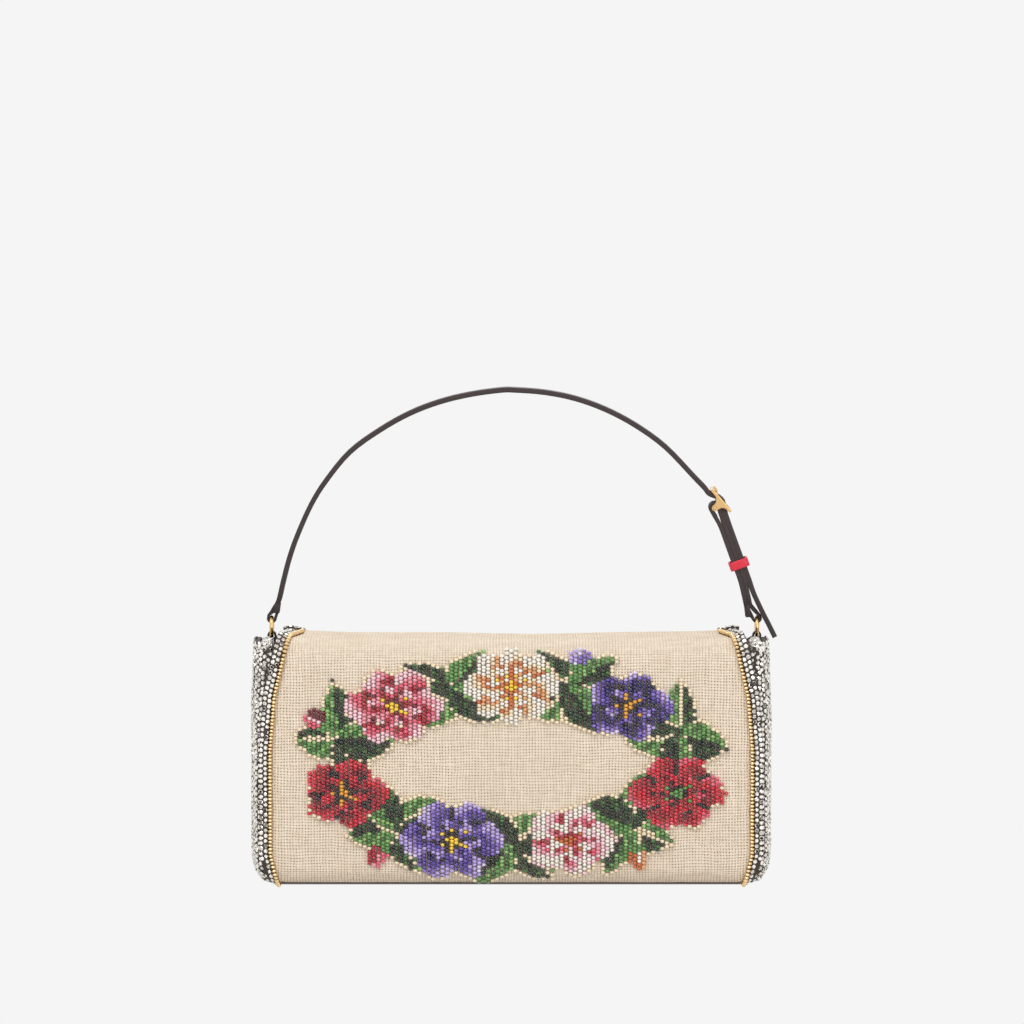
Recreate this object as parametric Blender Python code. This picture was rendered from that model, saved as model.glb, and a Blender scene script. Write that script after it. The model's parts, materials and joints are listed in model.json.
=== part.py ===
"""Flap handbag with a bead wreath, crystal gussets and a short buckled strap.

Metres, +Z up, +X to the right of someone facing the flap, +Y to the back.
The origin is on the floor, under the middle of the body's depth and width. Run it
with blender --background --python part.py, or from the text editor.
"""

import math

import bmesh
import bpy
from mathutils import Vector

# Body of the bag
bag_height = 0.127
body_depth = 0.046
body_half_width = 0.1220
wall = 0.0024
gap = 0.0003
base_front_round = 0.012
base_back_round = 0.008
top_back_round = 0.009
front_wall_drop = 0.0105
arc_steps = 7
smooth_angle = math.radians(35)
disc_steps = 24

# Back panel, drawn in from the body's half width
back_draw_in = 0.0008
back_top_draw_in = 0.0062
back_shoulder_drop = 0.033

# Gussets
gusset_top_draw_in = 0.0044
gusset_bulge = 0.0094
gusset_top_bulge_share = 0.7
gusset_front_out = 0.0022
gusset_front_drop = 0.0085
gusset_corner_drop = 0.0052
gusset_crest_drop = 0.0028
gusset_ring_drop = 0.0072
gusset_back_drop = 0.0075
gusset_top_shares = (-1.0, -0.92, -0.75, 0.42, 0.68, 1.0)
gusset_front_round = 0.0160
gusset_back_round = 0.0120
gusset_foot_draw_in = 0.0090
gusset_foot_height = 0.0170
gusset_lift = 0.0006
gusset_shoulder_drop = 0.039
gusset_columns = 16
gusset_rows = 14
gusset_row_spread = 1.5

# Lining, stiffener, pocket, binding
lining_wall = 0.0010
board_thickness = 0.0016
board_margin = 0.004
pocket_width_share = 0.45
pocket_top_drop = 0.0145
pocket_wall = 0.0009
pocket_depth = 0.0026
pocket_low_share = 0.34
binding_thickness = 0.0012
binding_drop = 0.006

# Flap
hinge_y = 0.002
flap_gap = 0.0033
linen_thickness = 0.0016
flap_lining_thickness = 0.0011
flap_top_round = 0.0100
flap_hem_round = 0.0110
flap_hem_turn = math.radians(64)
hem_length = 0.0026
hem_thickness = 0.0032
hem_lift_share = 0.6
seam_half_gap = 0.0014
lining_under_seam = 0.0012
border_proud = 0.0006
border_front_drop = 0.0016
border_top_drop = 0.0007
corner_rise = 0.0024
corner_share = 0.72
corner_run = 0.0060
corner_pad_start = 0.0065
corner_pad_rise = 0.0022
trim_radius = 0.0011
trim_sink = 0.0003
flap_open_end = 0.0020

# How far the linen is drawn in from the body's half width, from the hinge to the hem
hinge_draw_in = 0.0170
top_front_draw_in = 0.0115
upper_draw_in = 0.0077
shoulder_draw_in = 0.0033
full_draw_in = 0.0010
hem_draw_in = 0.0052

# Width of the crystal strip outside it at the same places
hinge_border = 0.0084
top_front_border = 0.0064
upper_border = 0.0063
shoulder_border = 0.0057
full_border = 0.0056
hem_border = 0.0044
shoulder_drop = 0.029
full_drop = 0.057
low_height = 0.018

# Magnet closure
magnet_radius = 0.0070
magnet_height = 0.0012
magnet_level_share = 0.283

# Rings and their leather tabs
left_ring_step = 0.0001
right_ring_step = 0.0033
ring_back_step = 0.0055
ring_rise = 0.0013
ring_radius = 0.0048
ring_wire = 0.0010
ring_steps = 28
wire_steps = 10
fold_clearance = 0.0003
fold_leather = 0.0011
fold_width = 0.0036
fold_end_lean = 0.0013
fold_end_rise = 0.0037
tab_leather = 0.0010
tab_tail = 0.0180
tab_inset = 0.0045
tab_turn = math.radians(65)
fold_steps = 12

# Strap
strap_rise = 0.1209
strap_width = 0.0085
strap_thickness = 0.0022
short_leather = 0.0018
taper_length = 0.0130
skiving_length = 0.0045
pin_taper_share = 1 / 1.4
ring_taper_share = 1 / 1.8
strap_points_between = 4

# Buckle: its plane runs down and outwards from the upper end of the frame
buckle_shares = (0.8370, 0.5811)
buckle_reach = 0.0138
buckle_lean = math.radians(40.4)
buckle_bar = 0.0016
buckle_side = 0.0016
buckle_side_clearance = 0.0006
pin_along = 0.0079
pin_inward = 0.0049
pin_radius = 0.0009
pin_bore_clearance = 0.00006
lug_radius = 0.0016
lug_fillet = 0.0034
strap_bar_clearance = 0.0004
prong_thickness = 0.0010
prong_width = 0.0018
prong_tip_overhang = 0.0004
prong_pin_clearance = 0.0001
prong_eye_turn = math.radians(290)
prong_slot_width = 0.0026
prong_slot_start = 0.0002
prong_slot_end = 0.0087
hole_radius = 0.0010
hole_pitch = 0.0080
holes = 3

# Keeper
keeper_shares = (0.9509, 0.2661)
keeper_tilt = math.radians(20)
keeper_height = 0.0045
keeper_wall = 0.0010
keeper_clearance = 0.0004
keeper_half_width = 0.0051
keeper_travel_room = 0.0090
straight_above = 0.0200

# Bead wreath
wreath_half_width = 0.0890
wreath_half_height = 0.0400
wreath_level_share = 0.496
blooms = 7
oval_steps = 720
bloom_half_width = 0.0235
bloom_half_height = 0.0185
bloom_outline_points = 40
bead_layer = 0.0017
leaf_reach = 0.0245
leaf_waist = 0.0080
leaf_points = 48
leaf_search_steps = 40
wreath_low_edge = 0.0045
wreath_high_drop = 0.0055
petals_each = (8, 5, 6, 5, 6, 5, 6)
bloom_size_shares = (1.0, 0.92, 1.0, 0.95, 1.06, 0.9, 1.02)
petal_notch_share = 0.16
leaf_turn = 0.42
leaf_turns = (-leaf_turn, leaf_turn, math.pi - leaf_turn, math.pi + leaf_turn)
leaf_spread = 0.46

front_y = -body_depth / 2
back_y = body_depth / 2
base_half_width = body_half_width - wall - gap * 2
top_half_width = body_half_width - gusset_top_draw_in - wall - gap
front_wall_height = bag_height - front_wall_drop
gusset_crest = bag_height - gusset_crest_drop
gusset_back_height = bag_height - gusset_back_drop
gusset_shoulder_height = bag_height - gusset_shoulder_drop
flap_thickness = linen_thickness + gap + flap_lining_thickness
flap_front_y = front_y - flap_gap - flap_thickness
hinge_z = bag_height - linen_thickness / 2
front_face_y = flap_front_y - gap
magnet_level = bag_height * magnet_level_share
wreath_level = bag_height * wreath_level_share
ring_x = {-1: body_half_width + left_ring_step, 1: body_half_width + right_ring_step}
ring_y = back_y - ring_back_step
ring_z = bag_height + ring_rise
ring_wire_top = ring_z + ring_radius
short_total = short_leather * 2 + gap
layers_total = short_total + gap + strap_thickness
short_offset = (short_total - layers_total) / 2
long_offset = (layers_total - strap_thickness) / 2

# Where the flap's rounded front edge starts and ends, as indices of the flap's line
round_start = 3
round_end = round_start + arc_steps

colours = {
    "linen": ((0.80, 0.68, 0.52), 0.9, 0.0),
    "crystal": ((0.75, 0.76, 0.77), 0.15, 0.6),
    "gold_bead": ((0.62, 0.42, 0.14), 0.3, 0.8),
    "brass": ((0.72, 0.48, 0.18), 0.25, 1.0),
    "dark_leather": ((0.055, 0.040, 0.036), 0.5, 0.0),
    "red_leather": ((0.60, 0.02, 0.05), 0.45, 0.0),
    "lining": ((0.30, 0.20, 0.14), 0.8, 0.0),
    "board": ((0.35, 0.30, 0.24), 0.8, 0.0),
    "steel": ((0.60, 0.60, 0.60), 0.3, 1.0),
    "leaf_beads": ((0.03, 0.16, 0.04), 0.25, 0.0),
    "rose_beads": ((0.60, 0.10, 0.20), 0.25, 0.0),
    "violet_beads": ((0.12, 0.07, 0.40), 0.25, 0.0),
    "ivory_beads": ((0.85, 0.75, 0.60), 0.25, 0.0),
}


def clear_scene():
    for item in list(bpy.data.objects):
        bpy.data.objects.remove(item, do_unlink=True)


def material(name):
    found = bpy.data.materials.get(name)
    if found:
        return found
    colour, roughness, metallic = colours[name]
    made = bpy.data.materials.new(name)
    made.use_nodes = True
    shader = made.node_tree.nodes["Principled BSDF"]
    shader.inputs["Base Color"].default_value = (*colour, 1.0)
    shader.inputs["Roughness"].default_value = roughness
    shader.inputs["Metallic"].default_value = metallic
    return made


def add_object(name, mesh, finish):
    made = bpy.data.objects.new(name, mesh)
    bpy.context.scene.collection.objects.link(made)
    mesh.materials.clear()
    mesh.materials.append(material(finish))
    return made


def finish_mesh(name, shape, smooth=True):
    """Closes a bmesh into a mesh with its faces pointing out."""
    bmesh.ops.recalc_face_normals(shape, faces=shape.faces)
    mesh = bpy.data.meshes.new(name)
    shape.to_mesh(mesh)
    shape.free()
    if smooth:
        mesh.shade_smooth()
        mesh.set_sharp_from_angle(angle=smooth_angle)
    return mesh


def pivot(name, place):
    made = bpy.data.objects.new(name, None)
    made.location = place
    bpy.context.scene.collection.objects.link(made)
    return made


def keep_place(item, parent):
    """Parents a piece modelled in world places to an empty on its joint's axis."""
    bpy.context.view_layer.update()
    item.parent = parent
    item.matrix_parent_inverse = parent.matrix_world.inverted()


def loft(name, sections, closed=False, smooth=True):
    """A solid through rings of points, capped at both ends unless it closes on itself."""
    shape = bmesh.new()
    rings = [[shape.verts.new(point) for point in section] for section in sections]
    pairs = list(zip(rings, rings[1:]))
    if closed:
        pairs.append((rings[-1], rings[0]))
    for ring, following in pairs:
        count = len(ring)
        for i in range(count):
            j = (i + 1) % count
            shape.faces.new((ring[i], ring[j], following[j], following[i]))
    if not closed:
        shape.faces.new(list(reversed(rings[0])))
        shape.faces.new(rings[-1])
    return finish_mesh(name, shape, smooth)


def prism(name, outline, low, high, along="x", smooth=True):
    """An outline of two coordinates, extruded between two places on the third axis."""
    places = {
        "x": lambda a, b, c: (c, a, b),
        "y": lambda a, b, c: (a, c, b),
        "z": lambda a, b, c: (a, b, c),
    }[along]
    ends = [[places(a, b, end) for a, b in outline] for end in (low, high)]
    return loft(name, ends, smooth=smooth)


def cut(item, cutters, operation="DIFFERENCE"):
    for cutter in cutters:
        cutter.hide_render = True
        cutter.display_type = "WIRE"
        modifier = item.modifiers.new(cutter.name, "BOOLEAN")
        modifier.operation = operation
        modifier.solver = "EXACT"
        modifier.object = cutter


def arc(centre, radius, start, end, steps):
    """Points of an arc in a plane, angles from the first axis."""
    points = []
    for i in range(steps + 1):
        angle = start + (end - start) * i / steps
        points.append(
            (centre[0] + radius * math.cos(angle), centre[1] + radius * math.sin(angle))
        )
    return points


def smooth_line(points, between):
    """A smooth curve through points of a plane, each span cut into equal shares."""
    ends = [points[0], *points, points[-1]]
    line = []
    for i in range(len(points) - 1):
        a, b, c, d = (Vector(p) for p in ends[i : i + 4])
        for k in range(between):
            t = k / between
            line.append(
                (
                    b * 2
                    + (c - a) * t
                    + (a * 2 - b * 5 + c * 4 - d) * t**2
                    + (b * 3 - a - c * 3 + d) * t**3
                )
                / 2
            )
    line.append(Vector(points[-1]))
    return [tuple(p) for p in line]


def normals(line, closed=False):
    """Unit normals of a plane line, to the left of its run."""
    found = []
    count = len(line)
    for i in range(count):
        before = line[(i - 1) % count] if closed or i else line[i]
        after = line[(i + 1) % count] if closed or i < count - 1 else line[i]
        run = (Vector(after) - Vector(before)).normalized()
        found.append(Vector((-run.y, run.x)))
    return found


def blend_at(table, place):
    """The value at a place in a rising table of (place, value), eased by straight runs."""
    if place <= table[0][0]:
        return table[0][1]
    for (a, low), (b, high) in zip(table, table[1:]):
        if place <= b:
            return low + (high - low) * (place - a) / (b - a)
    return table[-1][1]


def lengths_along(line):
    total = 0.0
    found = [total]
    for a, b in zip(line, line[1:]):
        total += (Vector(b) - Vector(a)).length
        found.append(total)
    return found


def sheet(name, line, half_width, thickness, finish, shift=0.0):
    """A panel that follows a line in the YZ plane, its outer face on the line.

    half_width gives the half width at each index of the line, and shift sinks the
    panel under the line.
    """
    sections = []
    for i, (point, normal) in enumerate(zip(line, normals(line))):
        outer = Vector(point) + normal * shift
        inner = outer + normal * thickness
        half = half_width(i)
        sections.append(
            [
                (-half, outer.x, outer.y),
                (half, outer.x, outer.y),
                (half, inner.x, inner.y),
                (-half, inner.x, inner.y),
            ]
        )
    return add_object(name, loft(name, sections), finish)


def band(name, line, thicknesses, widths, finish, closed=False):
    """A leather band that follows a line in the XZ plane, its width along Y."""
    sections = []
    found = normals(line, closed)
    for point, normal, thick, wide in zip(line, found, thicknesses, widths):
        left = Vector(point) + normal * thick / 2
        right = Vector(point) - normal * thick / 2
        sections.append(
            [
                (left.x, ring_y - wide / 2, left.y),
                (left.x, ring_y + wide / 2, left.y),
                (right.x, ring_y + wide / 2, right.y),
                (right.x, ring_y - wide / 2, right.y),
            ]
        )
    return add_object(name, loft(name, sections, closed=closed), finish)


# Body


def back_line():
    """The back panel's outer face, from the fixed strip on top down to the base."""
    strip_front = hinge_y + flap_thickness / 2 + gap * 2
    line = [(strip_front, bag_height)]
    line += arc(
        (back_y - top_back_round, bag_height - top_back_round),
        top_back_round,
        math.pi / 2,
        0,
        arc_steps,
    )
    line += [(back_y, bag_height - back_shoulder_drop), (back_y, gusset_foot_height)]
    line += arc(
        (back_y - base_back_round, base_back_round),
        base_back_round,
        0,
        -math.pi / 2 * (arc_steps - 1) / arc_steps,
        arc_steps - 1,
    )
    return [(y, z) for y, z in reversed(line)]


def make_back_panel():
    line = back_line()
    rising = [
        (bag_height - back_shoulder_drop, body_half_width - back_draw_in),
        (bag_height, body_half_width - back_top_draw_in),
    ]
    return sheet(
        "back_panel", line, lambda i: blend_at(rising, line[i][1]), wall, "linen"
    )


def make_front_wall():
    """The wall behind the flap, its lower edge turned in towards the base."""
    centre = (front_y + base_front_round, base_front_round)
    turn = arc(
        centre,
        base_front_round,
        math.pi,
        math.pi * 3 / 2 - math.pi / 2 / arc_steps,
        arc_steps - 1,
    )
    line = [(front_y, front_wall_height), (front_y, gusset_shoulder_height)] + turn
    rising = [
        (gusset_shoulder_height, base_half_width),
        (gusset_crest, top_half_width),
    ]
    return sheet(
        "front_wall", line, lambda i: blend_at(rising, line[i][1]), wall, "linen"
    )


def make_front_binding():
    """A folded leather edge over the top of the front wall."""
    outer = front_y - gap - binding_thickness
    inner = front_y + wall + lining_wall + gap * 3 + binding_thickness
    top = front_wall_height + gap + binding_thickness
    low = front_wall_height - binding_drop
    outline = [
        (outer, low),
        (outer, top - binding_thickness / 2),
        (outer + binding_thickness / 2, top),
        (inner - binding_thickness / 2, top),
        (inner, top - binding_thickness / 2),
        (inner, low),
        (inner - binding_thickness, low),
        (inner - binding_thickness, front_wall_height + gap),
        (outer + binding_thickness, front_wall_height + gap),
        (outer + binding_thickness, low),
    ]
    half = top_half_width - lining_wall - gap
    mesh = prism("front_binding", outline, -half, half)
    return add_object("front_binding", mesh, "dark_leather")


def make_base():
    """The flat panel that the bag stands on, and the stiff board above it."""
    front = front_y + base_front_round
    back = back_y - base_back_round
    outline = [(front, 0.0), (back, 0.0), (back, wall), (front, wall)]
    mesh = prism("base_panel", outline, -base_half_width, base_half_width, smooth=False)
    add_object("base_panel", mesh, "dark_leather")
    low = wall + gap
    high = low + board_thickness
    half = base_half_width - board_margin
    outline = [(front, low), (back, low), (back, high), (front, high)]
    mesh = prism("base_board", outline, -half, half, smooth=False)
    add_object("base_board", mesh, "board")


def lining_outline(inset, top):
    """The section of the lining's outside, or of its hollow with an inset."""
    front = front_y + wall + gap + inset
    back = back_y - wall - gap - inset
    low = wall + board_thickness + gap * 2 + inset
    round_front = base_front_round - wall - gap
    round_back = base_back_round - wall - gap
    outline = [(front, top), (back, top)]
    outline += arc(
        (back - round_back, low + round_back),
        round_back,
        0,
        -math.pi / 2,
        arc_steps - 2,
    )
    outline += arc(
        (front + round_front, low + round_front),
        round_front,
        -math.pi / 2,
        -math.pi,
        arc_steps - 2,
    )
    return outline


def make_lining():
    """A sewn cloth tub, open at the top."""
    half = top_half_width
    top = front_wall_height
    body = add_object(
        "lining", prism("lining", lining_outline(0.0, top), -half, half), "lining"
    )
    hollow = prism(
        "lining_hollow",
        lining_outline(lining_wall, top + wall),
        -half + lining_wall,
        half - lining_wall,
    )
    cut(body, [add_object("lining_hollow", hollow, "lining")])


def make_slip_pocket():
    """A flat pocket on the back lining, open at its top."""
    back = back_y - wall - gap * 2 - lining_wall
    front = back - pocket_depth
    half = top_half_width * pocket_width_share
    pocket_low = bag_height * pocket_low_share
    high = front_wall_height - pocket_top_drop
    outline = [(-half, pocket_low), (half, pocket_low), (half, high), (-half, high)]
    body = add_object(
        "slip_pocket",
        prism("slip_pocket", outline, front, back, along="y", smooth=False),
        "lining",
    )
    inner = half - pocket_wall
    low = pocket_low + pocket_wall
    hollow_outline = [
        (-inner, low),
        (inner, low),
        (inner, high + pocket_wall),
        (-inner, high + pocket_wall),
    ]
    hollow = prism(
        "pocket_hollow",
        hollow_outline,
        front + pocket_wall,
        back + pocket_wall,
        along="y",
        smooth=False,
    )
    cut(body, [add_object("pocket_hollow", hollow, "lining")])


def foot_draw(z, foot_round):
    """How far the gusset's rounded foot draws an edge in at a height."""
    level = max(0.0, foot_round - (z - gusset_lift))
    return foot_round - math.sqrt(max(0.0, foot_round**2 - level**2))


def gusset_point(side, u, v):
    """A point of the gusset's outer face: u from front to back, v from foot to top."""
    front = front_y - gusset_front_out
    back = back_y - wall - gap
    tops = (
        bag_height - gusset_front_drop,
        bag_height - gusset_corner_drop,
        gusset_crest,
        gusset_crest,
        bag_height - gusset_ring_drop,
        gusset_back_height,
    )
    top = blend_at(list(zip(gusset_top_shares, tops)), u)
    z = gusset_lift + (top - gusset_lift) * v
    low_y = front + foot_draw(z, gusset_front_round)
    high_y = back - foot_draw(z, gusset_back_round)
    y = (low_y + high_y) / 2 + (high_y - low_y) / 2 * u
    edge = blend_at(
        [
            (gusset_shoulder_height, body_half_width),
            (gusset_crest, body_half_width - gusset_top_draw_in),
        ],
        z,
    )
    bulge = gusset_bulge + (body_half_width - edge) * gusset_top_bulge_share
    foot = max(0.0, 1.0 - (z - gusset_lift) / gusset_foot_height)
    draw_in = gusset_foot_draw_in * (1.0 - math.sqrt(max(0.0, 1.0 - foot**2)))
    crown = math.sqrt(max(0.0, 1.0 - abs(u) ** 4))
    x = edge + (bulge - draw_in) * crown
    return side * x, y, z


def make_gusset(name, side):
    """A bulging side panel, built as an outer grid and an inner grid."""
    shape = bmesh.new()
    spread = [
        math.sin(math.pi / 2 * (2 * i / gusset_columns - 1))
        for i in range(gusset_columns + 1)
    ]
    levels = [(j / gusset_rows) ** gusset_row_spread for j in range(gusset_rows + 1)]
    grids = []
    for inset in (0.0, wall):
        grid = []
        for v in levels:
            row = []
            for u in spread:
                x, y, z = gusset_point(side, u, v)
                row.append(shape.verts.new((x - side * inset, y, z)))
            grid.append(row)
        grids.append(grid)
    for grid in grids:
        for low, high in zip(grid, grid[1:]):
            for i in range(gusset_columns):
                shape.faces.new((low[i], low[i + 1], high[i + 1], high[i]))
    outer, inner = grids
    rims = [
        (outer[0], inner[0]),
        (outer[-1], inner[-1]),
        ([row[0] for row in outer], [row[0] for row in inner]),
        ([row[-1] for row in outer], [row[-1] for row in inner]),
    ]
    for a, b in rims:
        for i in range(len(a) - 1):
            shape.faces.new((a[i], a[i + 1], b[i + 1], b[i]))
    return add_object(name, finish_mesh(name, shape), "crystal")


def wire_rise():
    """How much the ring's curve lifts its wire across half the width of a fold."""
    return ring_radius - math.sqrt(ring_radius**2 - (fold_width / 2) ** 2)


def make_ring_tab(name, side):
    """A leather tab looped round the ring's lower side, its sewn tail down the gusset."""
    x = ring_x[side]
    low = ring_z - ring_radius
    high = low + wire_rise()
    hole = ring_wire + fold_clearance
    reach = hole + tab_leather
    tail_out = body_half_width - tab_inset + tab_leather
    tail_in = body_half_width - tab_inset - tab_leather
    neck = gusset_back_height + gap * 2
    outline = [(tail_in, gusset_back_height - tab_tail)]
    outline += [(tail_out, gusset_back_height - tab_tail), (tail_out, neck)]
    outline += arc((x, low), reach, -tab_turn, 0.0, fold_steps // 3)
    outline += arc((x, high), reach, 0.0, math.pi, fold_steps)
    outline += [(x - reach, low), (tail_in, neck)]
    hollow = arc((x, low), hole, math.pi, math.tau, fold_steps)
    hollow += arc((x, high), hole, 0.0, math.pi, fold_steps)
    sides = (ring_y - fold_width / 2, ring_y + fold_width / 2)
    over = (ring_y - fold_width, ring_y + fold_width)
    outline = [(side * a, b) for a, b in outline]
    hollow = [(side * a, b) for a, b in hollow]
    tab = add_object(name, prism(name, outline, *sides, along="y"), "dark_leather")
    bore = prism(f"{name}_hole", hollow, *over, along="y")
    cut(tab, [add_object(f"{name}_hole", bore, "dark_leather")])


# Flap


def flap_line():
    """The flap's outer face from the hinge over the top, down the front, to the hem."""
    top_centre = (flap_front_y + flap_top_round, bag_height - flap_top_round)
    hem_centre = (flap_front_y + flap_hem_round, low_hem_level())
    line = [(hinge_y, bag_height)]
    line.append((hinge_y - flap_open_end, bag_height))
    line.append((hinge_y - corner_run, bag_height))
    line += arc(top_centre, flap_top_round, math.pi / 2, math.pi, arc_steps)
    line += [
        (flap_front_y, bag_height - shoulder_drop),
        (flap_front_y, bag_height - full_drop),
        (flap_front_y, low_height),
    ]
    line += arc(
        hem_centre, flap_hem_round, math.pi, math.pi + flap_hem_turn, arc_steps
    )
    return line


def low_hem_level():
    return flap_hem_round * math.sin(flap_hem_turn) + hem_thickness * hem_lift_share


def flap_half_tables():
    """Half widths of the linen and of the flap against the way along the flap's line."""
    line = flap_line()
    along = lengths_along(line)
    top_front = along[round_start]
    upper = along[round_end]
    shoulder, full, low = along[round_end + 1 : round_end + 4]
    places = [0.0, top_front, upper, shoulder, full, low, along[-1]]
    draws = [
        hinge_draw_in,
        top_front_draw_in,
        upper_draw_in,
        shoulder_draw_in,
        full_draw_in,
        full_draw_in,
        hem_draw_in,
    ]
    strips = [
        hinge_border,
        top_front_border,
        upper_border,
        shoulder_border,
        full_border,
        full_border,
        hem_border,
    ]
    linen = [body_half_width - draw for draw in draws]
    whole = [half + strip for half, strip in zip(linen, strips)]
    return list(zip(places, linen)), list(zip(places, whole)), along


def cut_line(line, along, start, end):
    """The stretch of a line between two lengths along it."""

    def at(place):
        for i in range(len(line) - 1):
            if place <= along[i + 1]:
                share = (place - along[i]) / (along[i + 1] - along[i])
                return tuple(Vector(line[i]).lerp(Vector(line[i + 1]), share))
        return line[-1]

    kept = [(s, p) for s, p in zip(along, line) if start + gap < s < end - gap]
    kept = [(start, at(start)), *kept, (end, at(end))]
    return [p for s, p in kept], [s for s, p in kept]


def make_flap(parent):
    line = flap_line()
    linen_half, whole_half, along = flap_half_tables()
    end = along[-1]
    panel, panel_along = cut_line(line, along, flap_open_end, end - hem_length - gap)
    found = normals(panel)
    sections = [hinge_section()]
    for point, normal, place in zip(panel, found, panel_along):
        inner = Vector(point) + normal * linen_thickness
        half = blend_at(linen_half, place) - seam_half_gap
        sections.append(
            [
                (-half, point[0], point[1]),
                (half, point[0], point[1]),
                (half, inner.x, inner.y),
                (-half, inner.x, inner.y),
            ]
        )
    panel_object = add_object("flap_panel", loft("flap_panel", sections), "linen")
    lining = sheet(
        "flap_lining",
        panel,
        lambda i: blend_at(linen_half, panel_along[i]) + lining_under_seam,
        flap_lining_thickness,
        "dark_leather",
        shift=linen_thickness + gap,
    )
    hem, hem_along = cut_line(line, along, end - hem_length, end)
    edge = sheet(
        "flap_hem",
        hem,
        lambda i: blend_at(linen_half, hem_along[i]) - seam_half_gap,
        hem_thickness,
        "dark_leather",
    )
    pieces = [panel_object, lining, edge]
    for name, side in (("left", -1), ("right", 1)):
        border = f"flap_border_{name}"
        pieces.append(make_border(border, side, line, along, linen_half, whole_half))
        pieces.append(make_trim(f"flap_trim_{name}", side, line, along, linen_half))
    for piece in pieces:
        keep_place(piece, parent)


def hinge_section():
    """The flap's edge at the fold, as thin as the linen."""
    half = body_half_width - hinge_draw_in - seam_half_gap
    high = bag_height
    low = bag_height - linen_thickness
    return [
        (-half, hinge_y, high),
        (half, hinge_y, high),
        (half, hinge_y, low),
        (-half, hinge_y, low),
    ]


def make_border(name, side, line, along, linen_half, whole_half):
    """The crystal strip outside the gold trim, sloping back to the flap's edge."""
    kept, places = cut_line(line, along, 0.0, along[-1])
    sections = []
    drops = [
        (0.0, border_top_drop),
        (along[round_start], border_top_drop),
        (along[round_end + 1], border_front_drop),
    ]
    rises = [
        (flap_open_end, 0.0),
        (corner_run, corner_rise),
        (along[round_start], corner_rise),
        (along[round_end], 0.0),
    ]
    for point, normal, place in zip(kept, normals(kept), places):
        inner_x = side * (blend_at(linen_half, place) + seam_half_gap)
        outer_x = side * blend_at(whole_half, place)
        middle_x = inner_x + (outer_x - inner_x) * corner_share
        drop = blend_at(drops, place)
        rise = blend_at(rises, place)
        spots = [
            (inner_x, -border_proud),
            (middle_x, drop * corner_share - border_proud - rise),
            (outer_x, drop - border_proud - rise * corner_share),
            (outer_x, drop + linen_thickness),
            (inner_x, linen_thickness),
        ]
        section = []
        for x, sink in spots:
            spot = Vector(point) + normal * sink
            section.append((x, spot.x, spot.y))
        sections.append(section)
    return add_object(name, loft(name, sections), "crystal")


def make_corner(name, side):
    """A crystal covered pad that carries the border on over the bag's fixed strip."""
    inner_x = side * (body_half_width - hinge_draw_in)
    outer_x = side * (body_half_width - back_top_draw_in)
    middle_x = inner_x + (outer_x - inner_x) * corner_share
    low = bag_height + gap
    outline = [
        (inner_x, low),
        (inner_x, low + border_proud),
        (middle_x, low + corner_pad_rise),
        (outer_x, low + corner_pad_rise * corner_share),
        (outer_x, low),
    ]
    start = hinge_y + corner_pad_start
    mesh = prism(name, outline, start, back_y - top_back_round, along="y")
    return add_object(name, mesh, "crystal")


def make_trim(name, side, line, along, linen_half):
    """A row of gold beads in the seam between the linen and the crystal strip."""
    kept, places = cut_line(line, along, trim_radius, along[-1] - trim_radius)
    curve = bpy.data.curves.new(name, "CURVE")
    curve.dimensions = "3D"
    curve.bevel_depth = trim_radius
    curve.bevel_resolution = 2
    curve.use_fill_caps = True
    run = curve.splines.new("POLY")
    run.points.add(len(kept) - 1)
    for spot, point, normal, place in zip(run.points, kept, normals(kept), places):
        sunk = Vector(point) + normal * trim_sink
        spot.co = (side * blend_at(linen_half, place), sunk.x, sunk.y, 1.0)
    return add_object(name, curve, "gold_bead")


def make_disc(name, centre, radius, depth, finish):
    """A flat round disc whose axis lies along Y."""
    outline = arc(centre[::2], radius, 0.0, math.tau, disc_steps)[:-1]
    mesh = prism(name, outline, centre[1], centre[1] + depth, along="y")
    return add_object(name, mesh, finish)


def make_magnets(parent):
    make_disc(
        "magnet_body",
        (0.0, front_y - gap - magnet_height, magnet_level),
        magnet_radius,
        magnet_height,
        "steel",
    )
    disc = make_disc(
        "magnet_flap",
        (0.0, flap_front_y + flap_thickness + gap, magnet_level),
        magnet_radius,
        magnet_height,
        "steel",
    )
    keep_place(disc, parent)


# Wreath of beads


def bloom_centres():
    """Places spread evenly along the wreath's oval, the first at its top."""
    line = []
    for i in range(oval_steps + 1):
        angle = math.tau * i / oval_steps
        x = wreath_half_width * math.sin(angle)
        line.append((x, wreath_level + wreath_half_height * math.cos(angle)))
    along = lengths_along(line)
    found = []
    for k in range(blooms * 2):
        wanted = along[-1] * k / (blooms * 2)
        i = min(range(oval_steps), key=lambda n: abs(along[n] - wanted))
        found.append(line[i])
    return found[::2], found[1::2]


def bloom_radius(index, angle):
    """How far a bloom's petals reach at an angle from its middle."""
    petals = petals_each[index]
    wave = abs(math.cos(petals * angle / 2))
    share = bloom_size_shares[index] * (1 - petal_notch_share * (1 - wave))
    flat = math.hypot(
        math.cos(angle) / bloom_half_width, math.sin(angle) / bloom_half_height
    )
    return share / flat


def keep_on_flap(x, z):
    return x, min(max(z, wreath_low_edge), bag_height - wreath_high_drop)


def bloom_outline(index, centre):
    outline = []
    for i in range(bloom_outline_points):
        angle = math.tau * i / bloom_outline_points
        reach = bloom_radius(index, angle)
        outline.append(
            keep_on_flap(
                centre[0] + reach * math.cos(angle), centre[1] + reach * math.sin(angle)
            )
        )
    return outline


def inside_bloom(x, z, centres, margin):
    for index, (cx, cz) in enumerate(centres):
        angle = math.atan2(z - cz, x - cx)
        if math.hypot(x - cx, z - cz) < bloom_radius(index, angle) + margin:
            return True
    return False


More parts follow.
